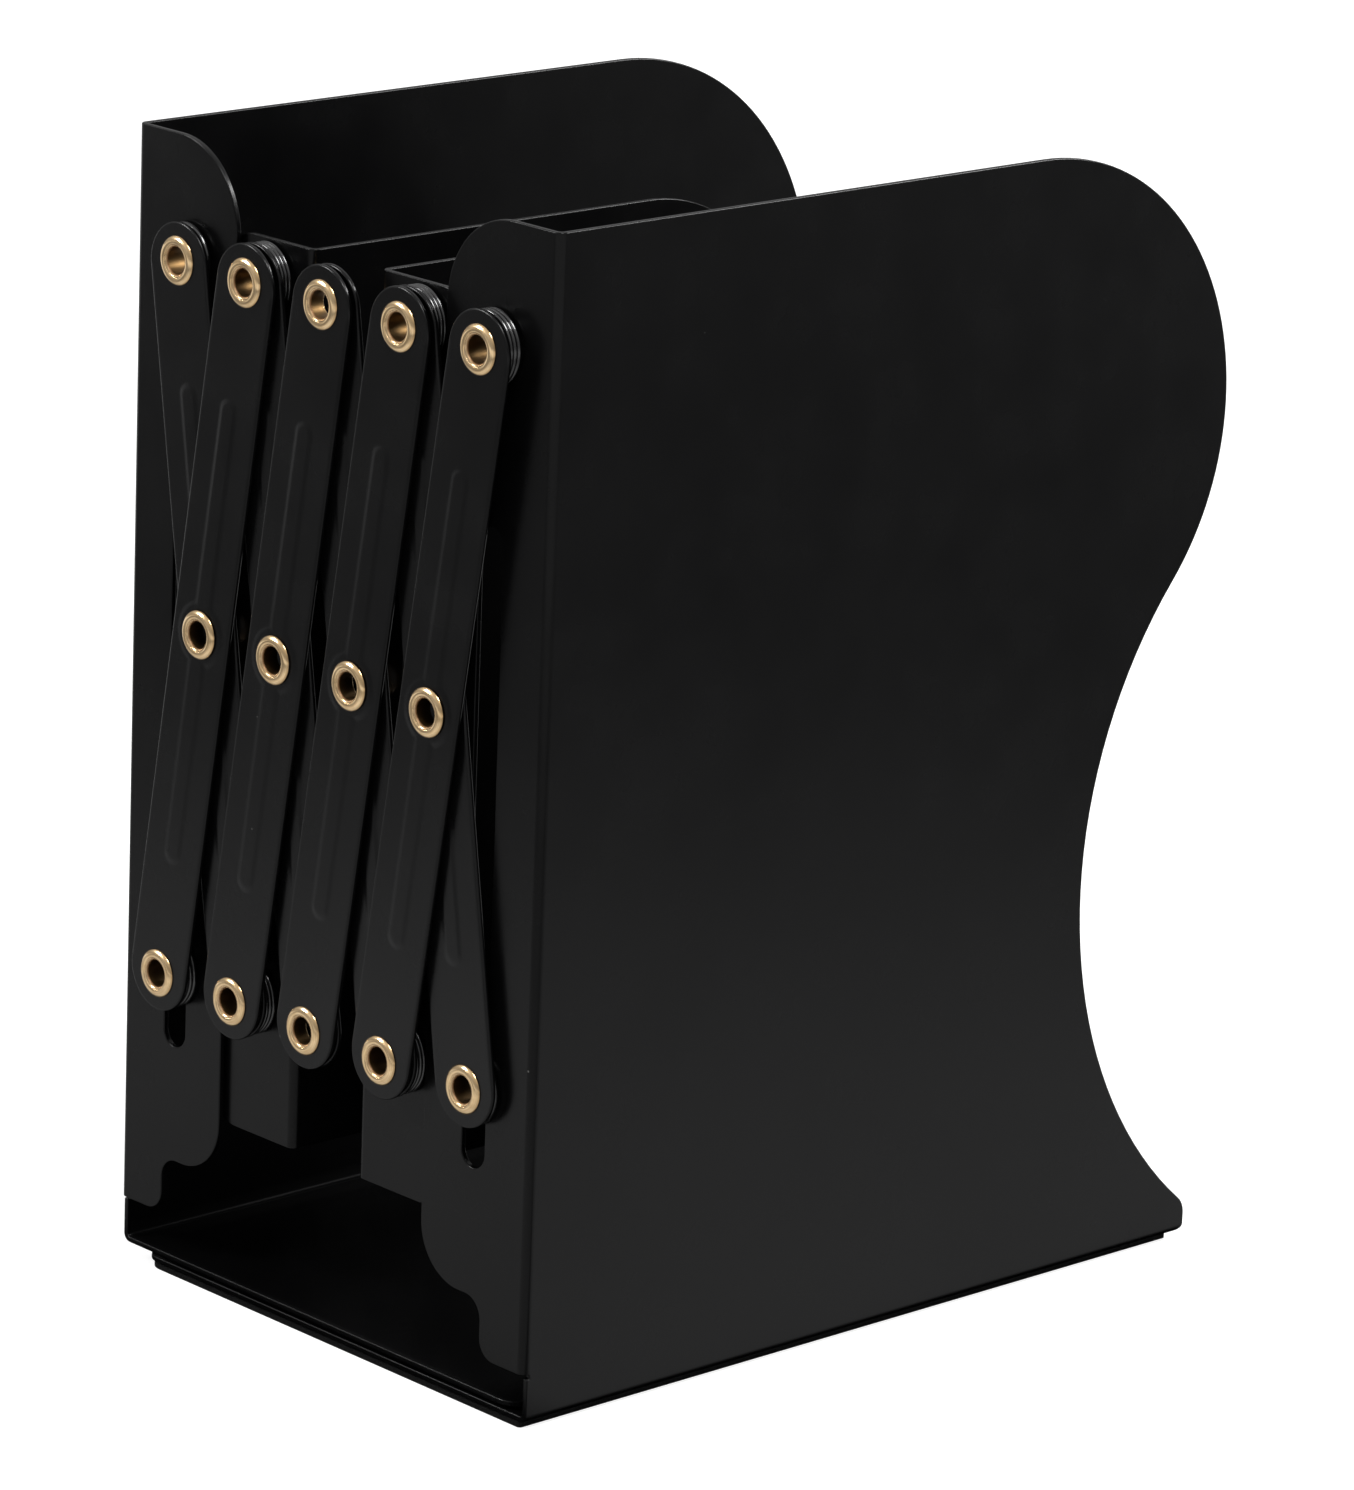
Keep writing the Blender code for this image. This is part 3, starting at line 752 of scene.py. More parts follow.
@dataclass
class FoldedPlate(ABC):
    """A plate folded from one sheet, whose flange has a pin hole and a slot for the pin below."""

    node: str
    side: Side
    pin: int
    sheet: float = 1.0 * MM
    edge: float = 0.30 * MM
    bend: Bend = Bend()
    hole_radius: float = 2.75 * MM
    slot_top: float = 144.345 * MM

    @abstractmethod
    def fold(self, sheet: FoldedSheet) -> None:
        """Adds all of the plate to its sheet."""

    def build(self) -> Piece:
        """Folds the plate and gives its piece."""
        sheet = FoldedSheet(self.side, *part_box(self.node))
        self.fold(sheet)
        return Piece(self.node, sheet.mesh(self.node), Slot.COAT, self.sheet, self.edge)

    def add_spine(self, sheet: FoldedSheet, bottom: float, below: float, edge: Loop) -> None:
        """Adds the bend beside the panel, and the flange with its pin hole and its slot.

        Args:
            sheet: The sheet that it is part of.
            bottom: The height of the flange's lower end.
            below: How far below the lower pin the slot's round end is centred.
            edge: The flange's free edge as widths and heights, from the top down.
        """
        inset, top = self.bend.radius, sheet.high.z
        sheet.strips([((x, y, bottom), (x, y, top)) for x, y in self.bend.rows()])
        across, height = pin_place(Row.TOP, self.pin)
        across = abs(across - sheet.corner[0])
        slot_low = pin_place(Row.BOTTOM, self.pin)[1] - below
        slot = stadium(slot_low, self.slot_top, self.hole_radius, across)
        hole = circle((across, height), self.hole_radius)
        sheet.pierced([(inset, top), *edge, (inset, bottom)], [hole, slot])


@dataclass
class EndPlate(FoldedPlate):
    """An end plate: the panel, the spine flange and the base."""

    front: CurvedFront = CurvedFront(46.5 * MM, 106.0 * MM, 80 * MM, 69.25 * MM, 153.7 * MM)
    edge_setback: float = 0.9 * MM
    relief: float = 0.6 * MM
    base_corner: float = 4.0 * MM
    flange_width: float = 25.9 * MM
    flange_crown: float = 15.0 * MM
    flange_foot: float = 8.3 * MM
    scroll_radius: float = 9.6 * MM
    scroll_step_width: float = 11.0 * MM
    scroll_step: float = 18.3 * MM
    scroll_fillet: float = 3.6 * MM
    scroll_toe: float = 3.6 * MM
    slot_below_pin: float = 10.95 * MM

    def fold(self, sheet: FoldedSheet) -> None:
        """Adds the panel, the spine and the base."""
        bottom = sheet.low.z + self.flange_foot
        self.add_panel(sheet, bottom)
        self.add_spine(sheet, bottom, self.slot_below_pin, self.flange_edge(sheet, bottom))
        self.add_base(sheet)

    def add_panel(self, sheet: FoldedSheet, bottom: float) -> None:
        """Adds the panel with its S-curved front and the relief at its lower back corner.

        Args:
            sheet: The sheet that it is part of.
            bottom: The height of the flange's lower end.
        """
        inset, setback = self.bend.radius, self.edge_setback
        fold, notch = sheet.low.z + inset, bottom - self.relief
        edge = self.front.points(sheet.high.z, fold)
        edge += [(setback, fold), (setback, notch), (inset, notch), (inset, bottom)]
        sheet.face([(0.0, y, z) for y, z in [*edge, (inset, sheet.high.z)]])

    def flange_edge(self, sheet: FoldedSheet, bottom: float) -> list[Point2]:
        """The flange's free edge, from its crown down to its scrolled foot.

        Args:
            sheet: The sheet that it is part of.
            bottom: The height of the flange's lower end.

        Returns:
            The edge as widths and heights.
        """
        crown = (self.flange_width - self.flange_crown, sheet.high.z - self.flange_crown)
        step = sheet.low.z + self.scroll_step
        scroll = (self.flange_width - self.scroll_radius, step + self.scroll_radius)
        fillet = (self.scroll_step_width + self.scroll_fillet, step - self.scroll_fillet)
        toe = (self.scroll_step_width - self.scroll_toe, bottom + self.scroll_toe)
        return arcs(
            (crown, self.flange_crown, 90, 0),
            (scroll, self.scroll_radius, 0, -90),
            (fillet, self.scroll_fillet, 90, 180),
            (toe, self.scroll_toe, 0, -90),
        )

    def add_base(self, sheet: FoldedSheet) -> None:
        """Adds the base's bend and the base with its two rounded corners."""
        width, depth, _ = sheet.high - sheet.low
        floor, corner = sheet.low.z, self.base_corner
        back, front = self.edge_setback, depth - self.bend.radius
        rows = self.bend.rows()
        sheet.strips([((x, back, floor + z), (x, depth - x, floor + z)) for x, z in rows])
        edge = arcs(
            ((width - corner, back + corner), corner, -90, 0),
            ((width - corner, front - corner), corner, 0, 90),
        )
        edge = [(self.bend.radius, back), *edge, (self.bend.radius, front)]
        sheet.face([(x, y, floor) for x, y in edge])


@dataclass
class Divider(FoldedPlate):
    """A divider, which hangs on a pin and slides on the pin below it."""

    front: CurvedFront = CurvedFront(32 * MM, 73 * MM, 90 * MM, 84.75 * MM, 101 * MM)
    flange_corner: float = 6.5 * MM
    slot_below_pin: float = 1.0 * MM

    def fold(self, sheet: FoldedSheet) -> None:
        """Adds the panel and the flange with its two rounded corners."""
        inset, radius = self.bend.radius, self.flange_corner
        bottom, top = sheet.low.z, sheet.high.z
        edge = [*self.front.points(top, bottom), (inset, bottom), (inset, top)]
        sheet.face([(0.0, y, z) for y, z in edge])
        corner = sheet.high.x - sheet.low.x - radius
        upper, lower = (corner, top - radius), (corner, bottom + radius)
        edge = arcs((upper, radius, 90, 0), (lower, radius, 0, -90))
        self.add_spine(sheet, bottom, self.slot_below_pin, edge)


class GeometryGraph(Graph):
    """A Geometry Nodes tree with named sizes, which is baked to a plain mesh."""

    def __init__(self, name: str, finish: bpy.types.Material, sizes: Mapping[str, float]) -> None:
        """Args:
        name: The tree's name.
        finish: The material that its meshes get.
        sizes: Its inputs with their values. The place of the mesh is added to them.
        """
        super().__init__(bpy.data.node_groups.new(name, "GeometryNodeTree"))
        face = self.tree.interface
        face.new_socket("Geometry", in_out="OUTPUT", socket_type="NodeSocketGeometry")
        kinds = {"Geometry": "NodeSocketGeometry", "Finish": "NodeSocketMaterial"}
        kinds |= {**dict.fromkeys(sizes, "NodeSocketFloat"), "Place": "NodeSocketVector"}
        self.keys = {
            label: face.new_socket(label, in_out="INPUT", socket_type=kind).identifier
            for label, kind in kinds.items()
        }
        self.values = {"Finish": finish, **sizes}
        self.inputs = self.tree.nodes.new("NodeGroupInput").outputs

    def change(self, kind: str, geometry: Socket, **inputs: Any) -> Socket:
        """Adds a node that changes a geometry, and gives the changed one."""
        return self.add(kind, {"Geometry": geometry, **inputs}).outputs[0]

    def close(self, geometry: Socket, **turn: Socket) -> None:
        """Ends the tree: the geometry is put in its place, made real and given its finish.

        Args:
            geometry: The geometry that leaves the tree.
            **turn: The angles that it is turned by first, as its rotation.
        """
        inputs = {"Translation": self.inputs["Place"], **turn}
        placed = self.change("GeometryNodeTransform", geometry, **inputs)
        real = self.change("GeometryNodeRealizeInstances", placed)
        finished = self.change("GeometryNodeSetMaterial", real, Material=self.inputs["Finish"])
        self.add("NodeGroupOutput", {0: finished})

    def bake(self, name: str, values: Mapping[str, Any], blank: Any = None) -> bpy.types.Mesh:
        """Runs the tree.

        Args:
            name: The new mesh's name.
            values: Inputs that this mesh has its own values for.
            blank: The mesh that the tree starts from, or None.

        Returns:
            The plain mesh.
        """
        carrier = linked(f"{name}_carrier", blank or bpy.data.meshes.new(f"{name}_blank"))
        modifier = carrier.modifiers.new("Made by rule", "NODES")
        modifier.node_group = self.tree
        for label, value in {**self.values, **values}.items():
            modifier[self.keys[label]] = value
        graph = bpy.context.evaluated_depsgraph_get()
        mesh = bpy.data.meshes.new_from_object(carrier.evaluated_get(graph))
        mesh.name = name
        bpy.data.objects.remove(carrier)
        return mesh


class Lathe(GeometryGraph):
    """A tree that turns a closed profile once round the Y axis."""

    UV_NAME = "UVMap"
    AROUND = 64

    def __init__(self, *tree: Any, parts: Mapping[str, int]) -> None:
        """Args:
        *tree: The name, the finish and the sizes of the tree.
        parts: The parts of the profile in order, with how many steps each has.
        """
        super().__init__(*tree)
        self.parts = parts
        steps = sum(parts.values())
        inputs = {"Size X": 1.0, "Size Y": 1.0}
        inputs |= {"Vertices X": self.AROUND + 1, "Vertices Y": steps + 1}
        self.grid = self.add("GeometryNodeMeshGrid", inputs).outputs
        # The grid is 1 wide, 1 high and centred, so its places run from -0.5 to 0.5.
        x, y, _ = self.split(self.add("GeometryNodeInputPosition").outputs[0])
        self.turn = self.times(self.math("ADD", x, 0.5), 2 * math.pi)
        self.along = self.times(self.math("ADD", y, 0.5), float(steps))

    def part(self, name: str) -> Socket:
        """How much of a part of the profile lies behind a point, from 0 to 1."""
        names = list(self.parts)
        start = sum(self.parts[each] for each in names[: names.index(name)])
        return self.ramp(self.along, float(start), float(start + self.parts[name]))

    def add_up(self, first: Any, *terms: tuple[Any, Any]) -> Socket:
        """Adds products to a first value.

        Args:
            first: The first value.
            *terms: Pairs of values that are multiplied and added.

        Returns:
            The sum.
        """
        total = first
        for one, other in terms:
            total = self.math("MULTIPLY_ADD", one, other, total)
        return total

    def revolve(self, radius: Any, depth: Any) -> None:
        """Turns the profile and ends the tree.

        Args:
            radius: The profile's radius.
            depth: The profile's depth along Y.
        """
        held = self.add("GeometryNodeStoreNamedAttribute", data_type="FLOAT2", domain="CORNER")
        inputs = {"Geometry": self.grid["Mesh"], "Name": self.UV_NAME, "Value": self.grid["UV Map"]}
        for label, value in inputs.items():
            self.plug(next(s for s in held.inputs if s.name == label and s.enabled), value)
        x = self.times(radius, self.math("COSINE", self.turn))
        z = self.times(radius, self.math("SINE", self.turn))
        place = self.add("ShaderNodeCombineXYZ", {"X": x, "Y": depth, "Z": z}).outputs[0]
        moved = self.change("GeometryNodeSetPosition", held.outputs[0], Position=place)
        closed = self.change("GeometryNodeMergeByDistance", moved, Distance=WELD)
        self.close(self.change("GeometryNodeSetShadeSmooth", closed))


class TurnedPieces(ABC):
    """A kind of piece that stands on the rivets' axes and is turned by one tree.

    The sizes that are zero here come from each piece's box.
    """

    WORD: str
    SLOT: Slot
    SIZES: dict[str, float]
    PARTS: dict[str, int]
    SHARP_DEG: float | None = None

    def __init__(self, finish: bpy.types.Material) -> None:
        """Args:
        finish: The pieces' material.
        """
        self.tree = Lathe(f"turned_{self.WORD}", finish, self.SIZES, parts=self.PARTS)
        self.tree.revolve(*self.profile(self.tree, self.tree.inputs))

    @abstractmethod
    def profile(self, t: Lathe, size: Mapping[str, Socket]) -> tuple[Socket, Socket]:
        """The profile's radius and its depth along Y."""

    @abstractmethod
    def fitted(self, low: Vector, high: Vector) -> dict[str, float]:
        """The sizes that a piece takes from its box."""

    def build(self, row: Row, number: int) -> Piece:
        """Turns one piece.

        Args:
            row: The row of the rivet that it stands on, or is.
            number: The rivet's number in the row.

        Returns:
            The piece.
        """
        node = f"{row.value}_{self.WORD}_{number}"
        x, z = pin_place(row, number)
        values = {**self.fitted(*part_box(node)), "Place": (x, 0.0, z)}
        mesh = outward(self.tree.bake(node, values))
        if self.SHARP_DEG is not None:
            mesh.set_sharp_from_angle(angle=math.radians(self.SHARP_DEG))
        return Piece(node, mesh, self.SLOT)


class HollowRivets(TurnedPieces):
    """The brass hollow rivets, each rolled over at its head and at its tail."""

    WORD = "rivet"
    SLOT = Slot.BRASS
    SIZES = {
        "Bore": 2.28 * MM,
        "Shank": 2.54 * MM,
        "Head radius": 0.0,
        "Head height": 0.62 * MM,
        "Head seat": 0.0,
        "Tail radius": 4.0 * MM,
        "Tail height": 0.50 * MM,
        "Tail seat": 0.0,
    }
    PARTS = {"head": 18, "under head": 1, "shank": 1, "under tail": 1, "tail": 10, "bore": 2}
    HEAD_ROOM = 0.60 * MM
    SKEW = 0.90
    FULLNESS = 0.62

    def profile(self, t: Lathe, size: Mapping[str, Socket]) -> tuple[Socket, Socket]:
        """The profile: over the head, along the shank, over the tail and back along the bore.

        Args:
            t: The tree that it is written into.
            size: The tree's inputs.

        Returns:
            Its radius and its depth.
        """
        bore, shank = size["Bore"], size["Shank"]
        head, tail = size["Head radius"], size["Tail radius"]
        length = t.less(size["Tail seat"], size["Head seat"])
        radius = t.add_up(
            bore,
            (t.less(head, bore), self.across("head")),
            (t.less(shank, head), t.part("under head")),
            (t.less(tail, shank), t.part("under tail")),
            (t.less(bore, tail), self.across("tail")),
        )
        depth = t.add_up(
            size["Head seat"],
            (t.times(size["Head height"], -1.0), self.over("head")),
            (length, t.part("shank")),
            (size["Tail height"], self.over("tail")),
            (t.times(length, -1.0), t.part("bore")),
        )
        return radius, depth

    def across(self, part: str) -> Socket:
        """How far across a rim a point lies, from 0 to 1, evenly spaced along the rim's curve."""
        turn = self.tree.times(self.tree.part(part), math.pi)
        return self.tree.add_up(0.5, (self.tree.math("COSINE", turn), -0.5))

    def over(self, part: str) -> Socket:
        """How high on a rim a point lies, from 0 to 1, highest towards the rim's outer side."""
        t = self.tree
        turn = t.times(t.math("POWER", self.across(part), self.SKEW), math.pi)
        return t.math("POWER", t.math("MAXIMUM", t.math("SINE", turn), 0.0), self.FULLNESS)

    def fitted(self, low: Vector, high: Vector) -> dict[str, float]:
        """The head's radius and the two seats, from a rivet's box."""
        return {
            "Head radius": (high.x - low.x) / 2,
            "Head seat": low.y + self.HEAD_ROOM,
            "Tail seat": high.y - self.SIZES["Tail height"],
        }


class StackedWashers(TurnedPieces):
    """The spacers: thin washers stacked on a rivet, each with a rounded rim."""

    WORD = "spacer"
    SLOT = Slot.COAT
    SIZES = {
        "Radius": 0.0,
        "Inner radius": 2.75 * MM,
        "Groove": 0.26 * MM,
        "Near": 0.0,
        "Far": 0.0,
        "Washers": 0.0,
    }
    PARTS = {"rim": 36, "far face": 1, "inner wall": 1, "near face": 1}
    SHARP_DEG = 60.0
    WASHER = 0.85 * MM
    ROUNDNESS = 0.75

    def profile(self, t: Lathe, size: Mapping[str, Socket]) -> tuple[Socket, Socket]:
        """The profile: along the washers' rims, down the far face and back along the hole.

        Args:
            t: The tree that it is written into.
            size: The tree's inputs.

        Returns:
            Its radius and its depth.
        """
        run = t.times(t.times(t.part("rim"), size["Washers"]), math.pi)
        swell = t.math("POWER", t.math("ABSOLUTE", t.math("SINE", run)), self.ROUNDNESS)
        start = t.less(size["Radius"], size["Groove"])
        fall = t.less(size["Inner radius"], start)
        radius = t.add_up(
            start,
            (size["Groove"], t.times(swell, t.less(1.0, t.part("far face")))),
            (fall, t.part("far face")),
            (t.times(fall, -1.0), t.part("near face")),
        )
        length = t.less(size["Far"], size["Near"])
        back = (t.times(length, -1.0), t.part("inner wall"))
        return radius, t.add_up(size["Near"], (length, t.part("rim")), back)

    def fitted(self, low: Vector, high: Vector) -> dict[str, float]:
        """The radius, the two ends and the number of washers, from a stack's box."""
        count = float(max(1, round((high.y - low.y) / self.WASHER)))
        ends = {"Near": low.y, "Far": high.y}
        return {"Radius": (high.x - low.x) / 2, "Washers": count, **ends}


class ScissorArms:
    """The scissor arms, each with round ends, three holes and a bead pressed towards the front."""

    SHEET = 0.9 * MM
    EDGE = 0.36 * MM
    WIDTH = 14.2 * MM
    END_REACH = 6.4 * MM
    HOLE_RADIUS = 2.75 * MM
    BEAD_HALF_WIDTH = 2.4 * MM
    BEAD_REACH = 41.5 * MM
    BEAD_HEIGHT = 0.12 * MM
    BEAD_SLOPE = 1.30 * MM
    BOSS_RADIUS = 6.0 * MM
    SLOPE_ROWS = 4
    GUARD = 0.8 * MM

    def __init__(self, finish: bpy.types.Material) -> None:
        """Args:
        finish: The arms' material.
        """
        x, z = pin_place(Row.TOP, 2)
        foot_x, foot_z = pin_place(Row.BOTTOM, 1)
        self.spacing = math.hypot(x - foot_x, z - foot_z)
        self.lean = math.atan2(x - foot_x, z - foot_z)
        self.blank = self.flat_blank()
        self.tree = self.press(finish)

    def bead_outline(self, inset: float) -> list[Point2]:
        """The bead's outline: a round boss at the middle and a rib to each side of it.

        Args:
            inset: How far inside the bead's foot the outline lies.

        Returns:
            The outline's points.
        """
        half = self.BEAD_HALF_WIDTH - inset
        boss = self.BOSS_RADIUS - inset
        tip = self.BEAD_REACH - self.BEAD_HALF_WIDTH
        meet = math.degrees(math.asin(half / boss))
        return arcs(
            ((0, tip), half, 0, 180),
            ((0, 0), boss, 90 + meet, 270 - meet),
            ((0, -tip), half, 180, 360),
            ((0, 0), boss, 270 + meet, 450 - meet),
        )

    def flat_blank(self) -> bpy.types.Mesh:
        """Makes the flat blank on Y = 0, its face towards -Y, with points along the bead's slope.

        Returns:
            The blank's mesh.
        """
        radius = self.WIDTH / 2
        centre = self.spacing / 2 + self.END_REACH - radius
        pins = [(0.0, height) for height in (-self.spacing / 2, 0.0, self.spacing / 2)]
        holes = [circle(pin, self.HOLE_RADIUS) for pin in pins]
        loops = [stadium(-centre, centre, radius)]
        loops += [circle(pin, self.HOLE_RADIUS + self.GUARD) for pin in pins]
        loops.append(stadium(-centre, centre, radius - self.GUARD))
        rows = range(self.SLOPE_ROWS + 1)
        loops += [self.bead_outline(self.BEAD_SLOPE * row / self.SLOPE_ROWS) for row in rows]
        bm = bmesh.new()
        for triangle in triangulated(loops, holes):
            bm.faces.new([bm.verts.new((x, 0.0, z)) for x, z in triangle])
        bmesh.ops.remove_doubles(bm, verts=bm.verts, dist=WELD)
        bmesh.ops.recalc_face_normals(bm, faces=bm.faces)
        if next(iter(bm.faces)).normal.y > 0:
            bmesh.ops.reverse_faces(bm, faces=bm.faces)
        return mesh_of(bm, "arm_blank")

    def press(self, finish: bpy.types.Material) -> GeometryGraph:
        """Builds the tree that raises the bead and puts the arm in its place.

        Args:
            finish: The arms' material.

        Returns:
            The tree.
        """
        sizes = {
            "Rib width": self.BEAD_HALF_WIDTH,
            "Rib length": self.BEAD_REACH - self.BEAD_HALF_WIDTH,
            "Boss radius": self.BOSS_RADIUS,
            "Slope": self.BEAD_SLOPE,
            "Height": self.BEAD_HEIGHT,
            "Lean": 0.0,
        }
        t = GeometryGraph("pressed_arm", finish, sizes)
        size = t.inputs
        x, _, z = t.split(t.add("GeometryNodeInputPosition").outputs[0])
        past_tip = t.math("MAXIMUM", t.less(t.math("ABSOLUTE", z), size["Rib length"]), 0.0)
        from_rib = t.less(size["Rib width"], self.distance(t, x, past_tip))
        from_boss = t.less(size["Boss radius"], self.distance(t, x, z))
        inner = t.math("MAXIMUM", from_rib, from_boss)
        rise = t.ramp(inner, 0.0, size["Slope"], interpolation_type="SMOOTHSTEP")
        up = {"Y": t.times(t.times(rise, size["Height"]), -1.0)}
        offset = t.add("ShaderNodeCombineXYZ", up).outputs[0]
        pressed = t.change("GeometryNodeSetPosition", size["Geometry"], Offset=offset)
        turn = t.add("ShaderNodeCombineXYZ", {"Y": size["Lean"]}).outputs[0]
        t.close(pressed, Rotation=turn)
        return t

    @staticmethod
    def distance(t: GeometryGraph, x: Any, z: Any) -> Socket:
        """The length of a way that runs x along one axis and z along the other."""
        return t.math("SQRT", t.math("ADD", t.times(x, x), t.times(z, z)))

    def build(self, layer: Layer, number: int) -> Piece:
        """Presses one arm and puts it in its place.

        Args:
            layer: The arm's layer.
            number: The arm's cell, from the left.

        Returns:
            The arm's piece.
        """
        node = f"{layer.value}_arm_{number}"
        _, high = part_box(node)
        x, z = pin_place(Row.MIDDLE, number)
        values = {"Place": (x, high.y - self.SHEET, z)}
        values["Lean"] = self.lean if layer is Layer.FRONT else -self.lean
        mesh = self.tree.bake(node, values, self.blank)
        return Piece(node, mesh, Slot.COAT, self.SHEET, self.EDGE)


@dataclass
class Pads:
    """The foam pad under the near base and the foam strip that carries the far end."""

    edge: float = 0.15 * MM
    pad_corner: float = 3.5 * MM
    fold_corner: float = 0.8 * MM
    strip_corner: float = 1.2 * MM

    def build(self) -> list[Piece]:
        """Makes the pad and the strip."""
        pad = self.slab("right_base_pad", self.pad_corner, self.fold_corner)
        return [pad, self.slab("left_foot_strip", self.strip_corner, self.strip_corner)]

    def slab(self, node: str, left: float, right: float) -> Piece:
        """Makes a flat slab with round corners in a node's box.

        Args:
            node: The node that it stands for.
            left: The radius of its corners on the left.
            right: The radius of its corners on the right.

        Returns:
            The piece.
        """
        low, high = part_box(node)
        outline = arcs(
            ((high.x - right, high.y - right), right, 0, 90),
            ((low.x + left, high.y - left), left, 90, 180),
            ((low.x + left, low.y + left), left, 180, 270),
            ((high.x - right, low.y + right), right, 270, 360),
        )
        bm = bmesh.new()
        top = bm.faces.new([bm.verts.new((x, y, high.z)) for x, y in outline])
        made = bmesh.ops.extrude_face_region(bm, geom=[top])
        below = [item for item in made["geom"] if isinstance(item, bmesh.types.BMVert)]
        bmesh.ops.translate(bm, verts=below, vec=(0, 0, low.z - high.z))
        bmesh.ops.recalc_face_normals(bm, faces=bm.faces)
        return Piece(node, mesh_of(bm, node), Slot.RUBBER, 0.0, self.edge)


@dataclass(frozen=True)
class Camera:
    """The photograph's camera, from the fit of its perspective to the bookend's own sizes."""

    place: Point3 = (0.857625, -0.802846, 0.424719)
    forward: Point3 = (-0.70109, 0.65850, -0.27359)
    roll_deg: float = 2.19
    focal_pixels: float = 7239.57
    long_side_pixels: float = 1490.0
    sensor: float = 36.0
    near: float = 0.05
    far: float = 20.0

    def build(self) -> None:
        """Makes the camera and gives it to the scene."""
        data = bpy.data.cameras.new("photograph_camera")
        configured(data, sensor_width=self.sensor, sensor_fit="AUTO")
        data.lens = self.focal_pixels / self.long_side_pixels * self.sensor
        configured(data, clip_start=self.near, clip_end=self.far)
        camera = linked("photograph_camera", data)
        camera.matrix_world = aimed(self.place, Vector(self.forward), self.roll_deg)
        bpy.context.scene.camera = camera


@dataclass(frozen=True)
class SoftLight:
    """A square soft light that looks at the bookend."""

    name: str
    place: Point3
    size: float
    power: float

    def build(self, target: Point3) -> None:
        """Makes the light.

        Args:
            target: The point that it looks at.
        """
        data = bpy.data.lights.new(self.name, "AREA")
        configured(data, shape="SQUARE", size=self.size, energy=self.power)
        ahead = Vector(target) - Vector(self.place)
        linked(self.name, data).matrix_world = aimed(self.place, ahead)


